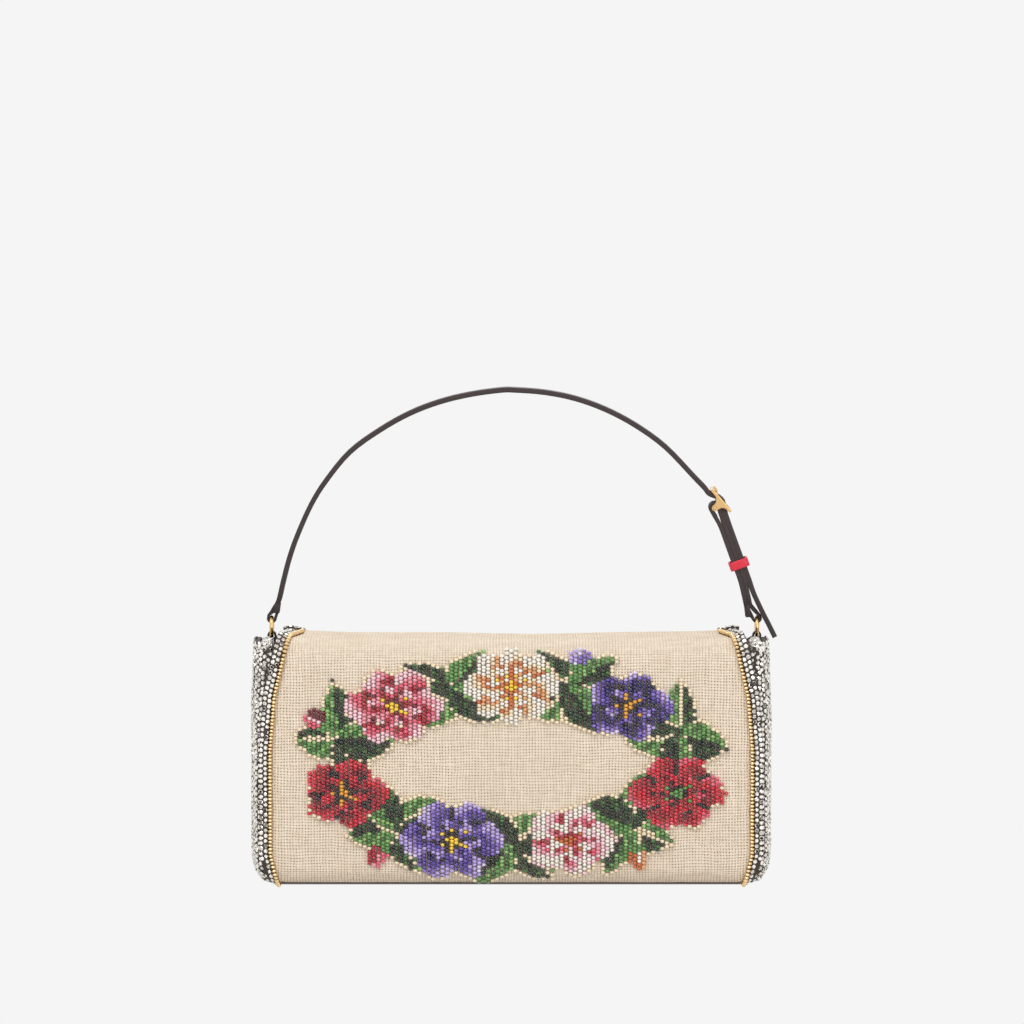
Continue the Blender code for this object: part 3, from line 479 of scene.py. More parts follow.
def softened(name, node, material, round_off, body, sags=False, swell=0.0, added=()):
    """A copy of a node's solid with rounded edges, which stands for it."""
    points, faces = cad_shape(node)
    for more, more_faces in added:
        faces = faces + [tuple(i + len(points) for i in face) for face in more_faces]
        points = np.concatenate([points, more])
    if swell:
        points = swollen(points, faces, swell)
    if sags:
        points, faces = sliced(points, faces)
    made = mesh_object(name, points, faces, [material])
    bevel = made.modifiers.new("round", "BEVEL")
    bevel.width = round_off
    bevel.segments = BEVEL_STEPS
    bevel.limit_method = "ANGLE"
    bevel.angle_limit = BEVEL_ANGLE
    settle(made)
    if sags:
        for vertex, point in zip(made.data.vertices, sagged([v.co for v in made.data.vertices])):
            vertex.co = point
    made.data.polygons.foreach_set("use_smooth", np.full(len(made.data.polygons), True))
    finish(made, body, cad_slot(node), node)


def settle(made):
    """Turns an object's modifiers into its mesh."""
    graph = bpy.context.evaluated_depsgraph_get()
    mesh = bpy.data.meshes.new_from_object(made.evaluated_get(graph))
    made.modifiers.clear()
    made.data = mesh


def finish(made, body, slot, *nodes):
    if body:
        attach(made, body)
    if nodes:
        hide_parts(*nodes)


# The flap's surface


def arc(middle, radius, start, sweep):
    turns = [start + sweep * k / ARC_STEPS for k in range(ARC_STEPS + 1)]
    return [(middle[0] + radius * math.cos(a), middle[1] + radius * math.sin(a)) for a in turns]


def flap_line():
    """The outer line of the flap in its side view, and the way along it from the hinge."""
    points = [(HINGE_Y + STRIP_DEPTH, HEIGHT), (HINGE_Y, HEIGHT)]
    points += arc((FRONT_Y + TOP_ROUND, HEIGHT - TOP_ROUND), TOP_ROUND, math.pi / 2, math.pi / 2)
    points += arc((FRONT_Y + HEM_ROUND, HEM_LEVEL), HEM_ROUND, math.pi, HEM_TURN)
    points = np.array(points)
    steps = np.linalg.norm(np.diff(points, axis=0), axis=1)
    along = np.concatenate([[0.0], np.cumsum(steps)]) - steps[0]
    return points, along


LINE, ALONG = flap_line()
FLAP_END = float(ALONG[-1])
PAST_HINGE = 0.02
SLOPE_STEP = 0.0008

# Puff of the linen: its height, the lengths where it starts and ends, ripples and seams
PUFF_HEIGHT = 0.0005
PUFF_START = 0.030
PUFF_END = 0.010
RIPPLES = (0.00022, 0.00016)
SEAM_FROM = 0.97
SEAM_SHARE = 0.03
SEAM_SINK = 0.0004
SEAM_INSET = 0.0002

LINEN_ROWS = 150
LINEN_COLUMNS = 121
LINEN_START = -0.0035
LINEN_THICKNESS = 0.0012


def on_line(way):
    return np.interp(way, ALONG, LINE[:, 0]), np.interp(way, ALONG, LINE[:, 1])


def linen_half(way):
    return np.interp(way, FLAP_PLACES, LINEN_HALVES)


def flap_half(way):
    return np.interp(way, FLAP_PLACES, FLAP_HALVES)


def way_at(z):
    """The way along the flap at a height on its front."""
    front = ALONG > PAST_HINGE
    return np.interp(-np.asarray(z, float), -LINE[front, 1], ALONG[front])


def raised(x, way, lift):
    """Points over the flap's line at lengths along it, and the outward normals there."""
    y, z = on_line(way)
    ahead, back = on_line(way + SLOPE_STEP), on_line(way - SLOPE_STEP)
    dy, dz = ahead[0] - back[0], ahead[1] - back[1]
    size = np.maximum(np.hypot(dy, dz), 1e-9)
    ny, nz = dz / size, -dy / size
    points = np.stack([x, y + ny * lift, z + nz * lift], axis=-1)
    return points, np.stack([np.zeros_like(ny), ny, nz], axis=-1)


def puff(x, way):
    """How far the soft linen swells out between its seams."""
    u = np.clip(np.abs(x) / linen_half(way), 0, 1)
    v = np.clip(way / PUFF_START, 0, 1) * np.clip((FLAP_END - way) / PUFF_END, 0, 1)
    ripple = RIPPLES[0] * np.sin(x * 71 + 1.3) * np.sin(way * 93 + x * 23)
    ripple = ripple + RIPPLES[1] * np.sin(x * 167 + way * 59)
    seam = SEAM_SINK * np.clip((u - SEAM_FROM) / SEAM_SHARE, 0, 1)
    return (PUFF_HEIGHT * (1 - u**6) + ripple * (1 - u**4)) * v - seam


def on_flap(x, way, out=0.0):
    """Points on the puffed cloth, lifted by some height, and the normals there."""
    return raised(x, way, puff(x, way) + out)


def make_linen_flap():
    """The linen from the fixed strip over the fold and down to the hem."""
    rows, columns = LINEN_ROWS, LINEN_COLUMNS
    way = np.linspace(LINEN_START, FLAP_END - HEM_LENGTH, rows)
    u = np.sin(np.linspace(-1, 1, columns) * math.pi / 2)
    x = (linen_half(way) - SEAM_INSET)[:, None] * u[None, :]
    outer, normals = on_flap(x.ravel(), np.repeat(way, columns))
    inner = sagged(outer - normals * LINEN_THICKNESS)
    outer = sagged(outer)
    count = len(outer)
    faces = grid_faces(rows, columns, flip=True) + grid_faces(rows, columns, count)
    grid = np.arange(count).reshape(rows, columns)
    rim = [grid[0], grid[1:, -1], grid[-1, -2::-1], grid[-2:0:-1, 0]]
    rim = np.concatenate(rim).tolist()
    for a, b in zip(rim, rim[1:] + rim[:1]):
        faces.append((a, b, b + count, a + count))
    points = np.concatenate([outer, inner])
    made = mesh_object("linen_flap", points, faces, [linen_material()])
    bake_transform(made)
    finish(made, None, "linen", "flap_panel")


# The gold beads

TRIM_RADIUS = 0.0011
TRIM_START = 2.6
TRIM_OUT = 0.95
TRIM_PITCH = 0.00181
TRIM_END = 0.0008
TRIM_BEAD = (0.00088, 0.00122, 0.00116)
TRIM_SIZES = (0.93, 1.07)
TRIM_SPIN = 0.25
TRIM_SEED = 5
THREAD_RADIUS = 0.0007
THREAD_SIDES = 6


def thread_along(places):
    """A thin round cord through places, as points, faces and face materials."""
    steps = np.gradient(places, axis=0)
    frames = frames_on(steps, (1.0, 0.0, 0.0))
    turns = np.linspace(0, math.tau, THREAD_SIDES, endpoint=False)
    reach = [THREAD_RADIUS * np.cos(turns), THREAD_RADIUS * np.sin(turns), 0 * turns]
    points = places[:, None, :] + np.einsum("nij,kj->nki", frames, np.stack(reach, axis=-1))
    faces = tube_faces(len(places), THREAD_SIDES)
    return points.reshape(-1, 3), faces, [1] * len(faces)


def make_trim(name, side):
    """Round gold beads on a thread, in the seam beside the crystal strip."""
    colours = bpy.context.scene.handbag_colours
    way = np.arange(TRIM_RADIUS * TRIM_START, FLAP_END - TRIM_END, TRIM_PITCH)
    out = TRIM_RADIUS * TRIM_OUT
    places, normals = raised(side * linen_half(way), way, out)
    rng = np.random.default_rng(TRIM_SEED + side)
    scales = np.tile([TRIM_BEAD], (len(way), 1))
    scales *= rng.uniform(*TRIM_SIZES, (len(way), 1))
    frames = frames_on(normals, (1.0, 0.0, 0.0), rng.uniform(-TRIM_SPIN, TRIM_SPIN, len(way)))
    beads = copies(bead_shape(12, 7, 2.0), places, frames, scales)
    thread = thread_along(places - normals * out)
    points, faces, index = join_shapes([(*beads, [0] * len(beads[1])), thread])
    gold = plain_material("gold_trim_bead", colours.gold_beads, 0.24, 1.0)
    # The thread is real; its dark brown also stands for the shade in the gaps between the beads:
    # painted shade
    brown = plain_material("trim_thread_and_gap_shade", (62, 44, 30), 0.9)
    made = mesh_object(f"gold_beads_{name}", points, faces, [gold, brown], index)
    finish(made, "flap", "gold_bead", f"flap_trim_{name}")


# The stones

# Painted reflections: lit and shaded copies of one clear stone, from a white glint to a dark
# reflection, one tone per facet
PAINTED_CRYSTAL_REFLECTIONS = (
    ("crystal_painted_white_glint", (252, 248, 240), 0.08, 0.30),
    ("crystal_painted_pale_reflection", (212, 206, 196), 0.08, 0.75),
    ("crystal_painted_grey_reflection", (140, 133, 124), 0.10, 0.90),
    ("crystal_painted_dark_reflection", (54, 48, 44), 0.14, 0.85),
)
# The setting is a real piece; its dark brown also stands for the shade in the gaps between the
# stones: painted shade
SETTING = ("crystal_setting_and_gap_shade", (52, 42, 37), 0.6, 0.0)
TURNED_EDGE = ("turned_edge", (206, 194, 176), 0.8, 0.0)
SETTING_AT = len(PAINTED_CRYSTAL_REFLECTIONS)
EDGE_AT = SETTING_AT + 1

# How many of a stone's facets have each of the four painted reflection tones, round it and on
# its table
CROWN_SHARES = (0.52, 0.26, 0.13, 0.09)
TABLE_SHARES = (0.66, 0.22, 0.07, 0.05)

# Reach and height of a stone's rings, from the bottom of its cup to its table
STONE_RINGS = ((0.98, -0.70), (1.02, 0.0), (0.92, 0.28), (0.62, 0.52))
STONE_SIDES = 8
STONE_SINK = 0.26
STONE_LEAN = 0.10
STONE_SIZES = (0.92, 1.04)
ROW_SHARE = 0.87
RAY_START = 0.012
SIDEWAYS = 0.75

BORDER_COLUMNS = 5
BORDER_START = 0.0008
BORDER_END = 0.001
BORDER_MARGIN = 0.55
BORDER_SEED = 11

CORNER_START = 0.8
CORNER_END = 0.4
CORNER_ABOVE = HEIGHT * 1.1
CORNER_SEED = 71


def stone_sizes():
    sizes = bpy.context.scene.handbag_stones
    return sizes.pitch, sizes.diameter / 2


def stone_shape():
    """A cut stone of unit radius in its cup, its table out along the third direction."""
    points = [point for row in STONE_RINGS for point in ring(*row, STONE_SIDES)]
    faces = grid_faces(len(STONE_RINGS), STONE_SIDES, wrap=True)
    faces.append(tuple(range(len(points) - STONE_SIDES, len(points))))
    return points, faces


def stones_mesh(places, normals, radius, seed):
    """Cut stones in their cups; each facet gets one of a few silvery tones of painted glint and
    reflection.
    """
    rng = np.random.default_rng(seed)
    count = len(places)
    leaning = normals + rng.normal(0, STONE_LEAN, (count, 3))
    frames = frames_on(leaning, turns=rng.uniform(0, math.tau, count))
    size = radius * rng.uniform(*STONE_SIZES, (count, 1))
    points, faces = copies(stone_shape(), places, frames, np.repeat(size, 3, 1))
    index = []
    for _ in range(count):
        # The cup round each stone's base takes the dark setting colour, painted shade between
        # the stones
        index += [SETTING_AT] * STONE_SIDES
        for facets, shares in ((2 * STONE_SIDES, CROWN_SHARES), (1, TABLE_SHARES)):
            index += rng.choice(len(PAINTED_CRYSTAL_REFLECTIONS), facets, p=shares).tolist()
    return points, faces, index


def sideways(points, face):
    """Whether a face looks along the bag's width."""
    a, b, c = (points[i] for i in face[:3])
    normal = np.cross(b - a, c - a)
    return abs(normal[0]) > SIDEWAYS * np.linalg.norm(normal)


def stone_piece(name, places, normals, seed, body, base, turned=False):
    """Stones over the solid that carries them, both as one piece that stands for it."""
    _, radius = stone_sizes()
    base_points, base_faces = base
    stones = stones_mesh(places - normals * radius * STONE_SINK, normals, radius, seed)
    # The base under the stones takes the dark setting colour, painted shade in the gaps; its
    # turned sides keep the cloth's colour
    looks = [
        EDGE_AT if turned and sideways(base_points, face) else SETTING_AT for face in base_faces
    ]
    points, faces, index = join_shapes([(base_points, base_faces, looks), stones])
    materials = [plain_material(*values) for values in (*PAINTED_CRYSTAL_REFLECTIONS, SETTING, TURNED_EDGE)]
    made = mesh_object(f"stones_{name}", points, faces, materials, index, smooth=False)
    finish(made, body, "crystal", name)


def make_border(name, side):
    """The flap's side strip: stones in columns, as many as the strip is wide."""
    pitch, radius = stone_sizes()
    starts, ways = [], []
    for column in range(BORDER_COLUMNS):
        first = BORDER_START + (column % 2) * pitch / 2
        way = np.arange(first, FLAP_END - BORDER_END, pitch)
        near = linen_half(way) + 2 * radius + column * pitch * ROW_SHARE
        kept = near < flap_half(way) - radius * BORDER_MARGIN
        spots, out = raised(side * near[kept], way[kept], RAY_START)
        starts.append(spots)
        ways.append(-out)
    places, normals = cast_on(cad_tree(name), np.concatenate(starts), np.concatenate(ways))
    stone_piece(name, places, normals, BORDER_SEED + side, "flap", cad_shape(name), turned=True)


def make_corner(name, side):
    """The pad of stones that carries the border on behind the fold."""
    pitch, radius = stone_sizes()
    base = cad_shape(name)
    low, high = base[0].min(0), base[0].max(0) - radius * CORNER_END
    levels = np.arange(low[1] + radius * CORNER_START, high[1], pitch * ROW_SHARE)
    starts = []
    for row, y in enumerate(levels):
        for x in np.arange(low[0] + radius * (CORNER_START + row % 2), high[0], pitch):
            starts.append((x, y, CORNER_ABOVE))
    places, normals = cast_down(cad_tree(name), starts)
    stone_piece(name, places, normals, CORNER_SEED + side, "bag", base)


# The gussets

GUSSET_MIDDLE = (0.1135, -0.0025)
GUSSET_REACH = 0.05
GUSSET_TURN = 84
GUSSET_RAYS = 61
GUSSET_MIN_HITS = 8
GUSSET_COLUMNS = 22
GUSSET_START = 0.0018
GUSSET_END = 0.0004
GUSSET_UNEVEN = (0.0035, 0.00018)
GUSSET_SEED = 51
GUSSET_PLACE_SEED = 31
RIB_COUNT = 4
RIB_DEPTH = 0.0007
RIB_FROM_X = 0.1225
RIB_FADE = 0.003

# The stones on the upper edge: how far in its rows lie, and where they make way
TOP_X = 0.1262
TOP_INSETS = (0.0005, 0.0026, 0.0047)
TOP_Y = (-0.0225, 0.0195)
TOP_DEPTH = 0.012
TAB_HALF = 0.0046
TOP_LEVEL = 0.4
TOP_ABOVE = HEIGHT * 1.2

# The rolled edge in front of the ring's tab
ROLL_X = 0.1240
ROLL_Z = 0.1203
ROLL_RADIUS = 0.0034
ROLL_FRONT = -0.0195
ROLL_BACK = 0.0112
ROLL_SIDES = 16
ROLL_TURN = 45
ROLL_LEANS = (22, 62)
ROLL_DOME = (0.2, 0.5, 0.9, 1.2)
ROLL_TAPER = 0.001
ROLL_TIP = 0.6


def gusset_section(tree, side, z):
    """The gusset's outer face at a height, as points and normals from front to back."""
    turns = np.radians(np.linspace(-GUSSET_TURN, GUSSET_TURN, GUSSET_RAYS))
    ways = np.stack([-side * np.cos(turns), -np.sin(turns), 0 * turns], axis=-1)
    middle = np.array([side * GUSSET_MIDDLE[0], GUSSET_MIDDLE[1], z])
    return cast_on(tree, middle - ways * GUSSET_REACH, ways)


def gusset_places(side, name):
    """Stones in columns over the gusset, set back a little between its soft ribs."""
    pitch, _ = stone_sizes()
    points, _ = cad_shape(name)
    tree = cad_tree(name)
    rng = np.random.default_rng(GUSSET_PLACE_SEED + side)
    places, normals = [], []
    levels = np.arange(GUSSET_START, points[:, 2].max() - GUSSET_END, pitch / 2)
    for row, z in enumerate(levels):
        line, found = gusset_section(tree, side, z)
        if len(line) < GUSSET_MIN_HITS:
            continue
        steps = np.linalg.norm(np.diff(line, axis=0), axis=1)
        share = np.concatenate([[0.0], np.cumsum(steps)]) / steps.sum()
        columns = np.arange(row % 2, GUSSET_COLUMNS, 2)
        at = (columns + 0.5) / GUSSET_COLUMNS + rng.normal(0, GUSSET_UNEVEN[0], len(columns))
        place = np.stack([np.interp(at, share, line[:, k]) for k in range(3)], axis=-1)
        normal = np.stack([np.interp(at, share, found[:, k]) for k in range(3)], axis=-1)
        place[:, 2] += rng.normal(0, GUSSET_UNEVEN[1], len(columns))
        groove = 1 - np.abs(np.sin(math.pi * RIB_COUNT * at))
        places.append(place - normal * (RIB_DEPTH * groove)[:, None])
        normals.append(normal)
    top, up = gusset_top_places(side, tree)
    return np.concatenate([*places, top]), np.concatenate([*normals, up])


def gusset_top_places(side, tree):
    """Stones along the gusset's upper edge and the roll in front of the ring's tab."""
    pitch, _ = stone_sizes()
    y = np.arange(*TOP_Y, pitch)
    y = y[np.abs(y - RING_Y) > TAB_HALF]
    starts = [(side * (TOP_X - inset), b, TOP_ABOVE) for inset in TOP_INSETS for b in y]
    places, normals = cast_down(tree, starts)
    kept = (places[:, 2] > HEIGHT - TOP_DEPTH) & (np.abs(normals[:, 2]) > TOP_LEVEL)
    rolled, outward = roll_places(side)
    return np.concatenate([places[kept], rolled]), np.concatenate([normals[kept], outward])


def roll_places(side):
    """Stones round the rolled edge, row by row, over its front end too."""
    pitch, _ = stone_sizes()
    spots = []
    for row, y in enumerate(np.arange(ROLL_FRONT, ROLL_BACK, pitch * ROW_SHARE)):
        first = -90 + ROLL_TURN / 2 * (row % 2)
        spots += [(y, turn, 0.0) for turn in np.radians(np.arange(first, 91, ROLL_TURN))]
    for turn in np.radians(np.arange(-90, 91, ROLL_TURN)):
        spots += [(ROLL_FRONT, turn, lean) for lean in np.radians(ROLL_LEANS)]
    places, normals = [], []
    for y, turn, lean in spots:
        across, up = side * math.sin(turn) * math.cos(lean), math.cos(turn) * math.cos(lean)
        normals.append(np.array([across, -math.sin(lean), up]))
        places.append(np.array([side * ROLL_X, y, ROLL_Z]) + normals[-1] * ROLL_RADIUS)
    return np.array(places), np.array(normals)


def roll_shape(side):
    """The rolled edge itself: a round bar from front to back with a domed front end."""
    turns = np.linspace(0, math.tau, ROLL_SIDES, endpoint=False)
    spots = [
        (ROLL_FRONT - ROLL_RADIUS * math.cos(a), ROLL_RADIUS * math.sin(a)) for a in ROLL_DOME
    ]
    spots += [(ROLL_FRONT, ROLL_RADIUS), (ROLL_BACK, ROLL_RADIUS)]
    spots += [(ROLL_BACK + ROLL_TAPER, ROLL_RADIUS * ROLL_TIP)]
    rings = []
    for y, radius in spots:
        x, z = side * ROLL_X + radius * np.cos(turns), ROLL_Z + radius * np.sin(turns)
        rings.append(np.stack([x, 0 * turns + y, z], axis=-1))
    return np.concatenate(rings), tube_faces(len(rings), ROLL_SIDES)


def make_gusset(name, side):
    points, faces = cad_shape(name)
    places, normals = gusset_places(side, name)
    inward = np.clip((np.abs(points[:, 0]) - RIB_FROM_X) / RIB_FADE, 0, 1)
    points[:, 0] -= side * RIB_DEPTH * inward
    base, held, _ = join_shapes([(points, faces, ()), (*roll_shape(side), ())])
    stone_piece(name, places, normals, GUSSET_SEED + side, "bag", (base, held))


# The wreath

WREATH_HALF = (0.0890, 0.0400)
WREATH_LEVEL = 0.0630
WREATH_STEPS = 720
LOW_EDGE = 0.0045
HIGH_EDGE = 0.1215

BLOOM_HALF = (0.0246, 0.0194)
PETALS = (8, 5, 6, 5, 6, 5, 6)
BLOOM_SHARES = (1.0, 0.92, 1.0, 0.95, 1.06, 0.9, 1.02)
BLOOM_COUNT = len(PETALS)
NOTCH = 0.20
INNER_PETALS = 0.56

LEAF_REACH = 0.0262
LEAF_FAN = (0.56, 0.32)
LEAF_ASIDE = 0.12
LEAF_UNEVEN = 0.10
LEAF_HALF_WIDTH = 0.0102
LEAF_START = 0.0040

BUD_TURN = 0.10
BUD_AWAY = 0.0165
BUD_HALF = (0.0072, 0.0052)

# How high the embroidery stands over the cloth, from a bloom's middle to its rim
PETAL_RISE = 0.0008
LEAF_RISE = 0.6
CROWN_PLACES = (0.0, 0.28, 0.45, 0.78, 1.0)
CROWN_RISES = (0.8, 0.8, 0.5, 1.0, 0.0)

BEAD_COLUMNS = 52
BEAD_ROWS = 69
BEAD_FIT = 0.49
BEAD_OUT = 0.42
BEAD_SHIFT = (0.00008, 0.00006)
BEAD_SPIN = 0.06
BEAD_SIZES = (0.93, 1.04)
BEAD_GLOSS = (0.16, 0.0, 0.6)
PATCH_SEED = 100

# The six stitch places round one, in halves of a column and of a row
BESIDE = ((0, 2), (0, -2), (2, 1), (2, -1), (-2, 1), (-2, -1))

GLASS = {
    "black": (30, 24, 30),
    "dark_red": (112, 14, 38),
    "crimson": (172, 22, 48),
    "red": (214, 34, 58),
    "rose": (228, 92, 118),
    "pink": (240, 150, 168),
    "pale_pink": (248, 206, 216),
    "indigo": (44, 36, 96),
    "purple": (88, 66, 158),
    "violet": (132, 108, 196),
    "lilac": (186, 166, 228),
    "pale_lilac": (222, 210, 242),
    "night_green": (20, 36, 26),
    "dark_green": (30, 66, 34),
    "green": (58, 112, 50),
    "leaf_green": (96, 152, 76),
    "light_green": (142, 190, 106),
    "cream": (244, 226, 192),
    "ivory": (246, 240, 230),
    "peach": (230, 162, 112),
    "orange": (208, 104, 42),
    "amber": (232, 162, 40),
    "yellow": (248, 208, 52),
}
GLASS_NAMES = tuple(GLASS)

# Each bloom's heart, and its glass from the deepest shade to the palest
BLOOM_GLASS = (
    ("yellow", "orange peach peach cream ivory ivory ivory ivory"),
    ("amber", "black indigo indigo indigo purple violet lilac pale_lilac"),
    ("leaf_green", "black dark_red crimson crimson red red rose rose"),
    ("orange", "crimson rose pink pale_pink ivory ivory pale_pink cream"),
    ("yellow", "black indigo purple purple violet lilac lilac pale_lilac"),
    ("amber", "black black dark_red crimson crimson red red rose"),
    ("yellow", "dark_red crimson crimson rose pink pale_pink pale_pink cream"),
)
LEAF_GLASS = "night_green dark_green dark_green green green leaf_green leaf_green light_green"

# The glass of the bud in each group of leaves, where it has one
BUDS = (
    *("violet pale_lilac lilac", None, "orange ivory peach", None),
    *("crimson pink rose", "dark_red pale_pink rose", None),
)


def wreath_spots():
    """Middles of the blooms and of the groups of leaves, spread evenly round the oval."""
    turn = np.linspace(0, math.tau, WREATH_STEPS + 1)
    x = WREATH_HALF[0] * np.sin(turn)
    z = WREATH_LEVEL + WREATH_HALF[1] * np.cos(turn)
    along = np.concatenate([[0.0], np.cumsum(np.hypot(np.diff(x), np.diff(z)))])
    count = 2 * BLOOM_COUNT
    wanted = along[-1] * np.arange(count) / count
    index = [int(np.argmin(np.abs(along[:WREATH_STEPS] - w))) for w in wanted]
    spots = [(x[i], z[i]) for i in index]
    return spots[::2], spots[1::2]


BLOOMS, LEAVES = wreath_spots()


def bloom_reach(index, angle):
    """How far a bloom reaches from its middle: an oval with a notch between petals."""
    wave = np.abs(np.cos(PETALS[index] * angle / 2))
    share = BLOOM_SHARES[index] * (1 - NOTCH * (1 - wave))
    return share / np.hypot(np.cos(angle) / BLOOM_HALF[0], np.sin(angle) / BLOOM_HALF[1])


def bloom_places(index, x, z):
    """Angle, share of the reach and petal wave of places on a bloom."""
    dx, dz = x - BLOOMS[index][0], z - BLOOMS[index][1]
    angle = np.arctan2(dz, dx)
    share = np.hypot(dx, dz) / bloom_reach(index, angle)
    return angle, share, np.abs(np.cos(PETALS[index] * angle / 2))


def outward(index):
    """The direction out of the wreath at a group of leaves."""
    x, z = LEAVES[index]
    return math.atan2((z - WREATH_LEVEL) / WREATH_HALF[1] ** 2, x / WREATH_HALF[0] ** 2)


def turned(dx, dz, turn):
    """Distances as lengths along a direction and to its side."""
    return dx * math.cos(turn) + dz * math.sin(turn), dz * math.cos(turn) - dx * math.sin(turn)


def leaves_of(index):
    """Direction, length and half width of each leaf of a group."""
    out = outward(index)
    fan = LEAF_FAN[0] + LEAF_FAN[1] * abs(math.sin(out))
    aside = 1 + LEAF_ASIDE * abs(math.cos(out))
    found = []
    for k, turn in enumerate((fan, -fan, math.pi - fan * 0.9, math.pi + fan * 0.9)):
        uneven = math.sin(index * 2.3 + k * 1.9)
        length = LEAF_REACH * (1 + LEAF_UNEVEN * uneven) * aside
        half = LEAF_HALF_WIDTH * (1 - LEAF_UNEVEN * uneven)
        found.append((out + turn + LEAF_UNEVEN * uneven, length, half))
    return found


def leaf_at(index, x, z):
    """Which leaf of a group each place lies on, and its shares along and across that leaf."""
    spot = LEAVES[index]
    which = np.full(np.shape(x), -1)
    along_all, across_all = np.zeros(np.shape(x)), np.zeros(np.shape(x))
    for k, (turn, length, half) in enumerate(leaves_of(index)):
        along, across = turned(x - spot[0], z - spot[1], turn)
        along = (along + LEAF_START) / (length + LEAF_START)
        across = across / half
        width = np.sin(math.pi * np.clip(along, 0, 1) ** 0.85) ** 0.8
        inside = (along > 0) & (along < 1) & (np.abs(across) < width)
        which[inside] = k
        along_all[inside] = along[inside]
        across_all[inside] = (across / np.maximum(width, 0.05))[inside]
    return which, along_all, across_all


def bud_at(index, x, z):
    """Shares along and across a group's bud, which points outwards between two leaves."""
    spot = LEAVES[index]
    turn = outward(index) + BUD_TURN * (1 if index % 2 else -1)
    dx = x - spot[0] - BUD_AWAY * math.cos(turn)
    dz = z - spot[1] - BUD_AWAY * math.sin(turn)
    along, across = turned(dx, dz, turn)
    return along / BUD_HALF[0], across / BUD_HALF[1]


def glass(name):
    return GLASS_NAMES.index(name)


def shade_of(shades, share):
    """The glass of a list that stands at each share from its start to its end."""
    index = np.array([glass(name) for name in shades.split()])
    return index[np.clip((np.asarray(share) * len(index)).astype(int), 0, len(index) - 1)]


def bloom_glass(index, x, z, rim, rng):
    """Which glass each bead of a bloom has: two rows of petals that lie over each other."""
    angle, share, _ = bloom_places(index, x, z)
    heart, shades = BLOOM_GLASS[index]
    outer = share > INNER_PETALS
    petal = PETALS[index] * angle / math.tau + np.where(outer, 0.5, 0.0)
    across = 2 * (petal % 1 - 0.5)
    reach = np.where(outer, (share - INNER_PETALS) / (1 - INNER_PETALS), share / INNER_PETALS)

    # Paler towards a petal's tip, with one fold line, and darker at its sides
    fold = np.abs(across - 0.35) * np.where(across < 0.35, -1, 0.3)
    tone = 0.16 + 0.46 * reach + 0.34 * fold + 0.2
    tone += np.where(outer, 0.10, -0.04) + rng.normal(0, 0.05, len(x))
    tone -= 0.25 * (np.abs(across) > 0.86)
    found = shade_of(shades, tone)

    # The heart: stamens, a dark ring and a middle
    found[(share > 0.18) & (share < 0.42) & (np.abs(across) < 0.20)] = glass(heart)
    found[share < 0.20] = glass(shades.split()[0])
    found[share < 0.13] = glass(heart)
    found[rim & (rng.uniform(size=len(x)) < 0.55)] = glass("cream")
    return found


def leaf_glass(index, x, z, rim, rng):
    """Leaf beads: a midrib, one blade darker than the other, and slanting stripes."""
    which, along, across = leaf_at(index, x, z)
    stripe = np.sin(math.tau * (4.0 * along - 1.4 * np.abs(across)))
    tone = 0.48 + 0.26 * np.sign(across) + 0.18 * stripe + rng.normal(0, 0.04, len(x))
    found = shade_of(LEAF_GLASS, tone)
    rib = (np.abs(across) < 0.13) & (along > 0.15) & (along < 0.9)
    found[rib] = np.where(which % 2 == 0, glass("cream"), glass("night_green"))[rib]
    found[(np.abs(across) > 0.84) & (rng.uniform(size=len(x)) < 0.8)] = glass("cream")
    found[rim & (rng.uniform(size=len(x)) < 0.85)] = glass("cream")
    if BUDS[index]:
        a, b = bud_at(index, x, z)
        bud = np.hypot(a, b) < 1
        petal = 0.5 + 0.45 * np.sign(b) - 0.3 * (np.abs(b) < 0.25)
        found[bud] = shade_of(BUDS[index], petal)[bud]
        found[bud & (a < -0.35)] = glass("leaf_green")
    return found


def bead_lift(patch, x, z):
    """How far the raised embroidery lifts each bead over the cloth."""
    if patch < BLOOM_COUNT:
        _, share, wave = bloom_places(patch, x, z)
        crown = np.interp(share, CROWN_PLACES, CROWN_RISES)
        return PETAL_RISE * crown * np.where(share > 0.34, 0.35 + 0.65 * wave, 1.0)
    _, _, across = leaf_at(patch - BLOOM_COUNT, x, z)
    return PETAL_RISE * LEAF_RISE * np.clip(1.6 * (1 - np.abs(across)), 0, 1)


def bead_cells():
    """All stitch places on the front: straight columns, every other one half a bead up."""
    sizes = bpy.context.scene.handbag_beads
    columns = np.arange(-BEAD_COLUMNS, BEAD_COLUMNS + 1)
    rows = np.arange(1, BEAD_ROWS + 1)
    grid_x, grid_z = np.meshgrid(columns, rows, indexing="ij")
    x = grid_x * sizes.width
    z = (grid_z + 0.5 * (grid_x % 2)) * sizes.height
    kept = (z > LOW_EDGE - 0.0006) & (z < HIGH_EDGE + 0.0004)
    return x[kept], z[kept]


def on_rim(x, z, owner):
    """Whether each stitch place has no bead beside it on two sides or more."""
    sizes = bpy.context.scene.handbag_beads
    cells = [(round(a / sizes.width * 2), round(b / sizes.height * 2)) for a, b in zip(x, z)]
    filled = {cell for cell, patch in zip(cells, owner) if patch >= 0}
    bare = [sum((c + i, r + j) not in filled for i, j in BESIDE) for c, r in cells]
    return np.array(bare) >= 2


def patch_cells():
    """Every stitch place, its patch (a bloom, a group of leaves or none), and the rims."""
    x, z = bead_cells()
    owner = np.full(len(x), -1)
    for index in range(BLOOM_COUNT):
        which, _, _ = leaf_at(index, x, z)
        owner[which >= 0] = BLOOM_COUNT + index
        if BUDS[index]:
            owner[np.hypot(*bud_at(index, x, z)) < 1] = BLOOM_COUNT + index
    for index, spot in enumerate(BLOOMS):
        dx, dz = x - spot[0], z - spot[1]
        owner[np.hypot(dx, dz) < bloom_reach(index, np.arctan2(dz, dx))] = index
    return x, z, owner, on_rim(x, z, owner)


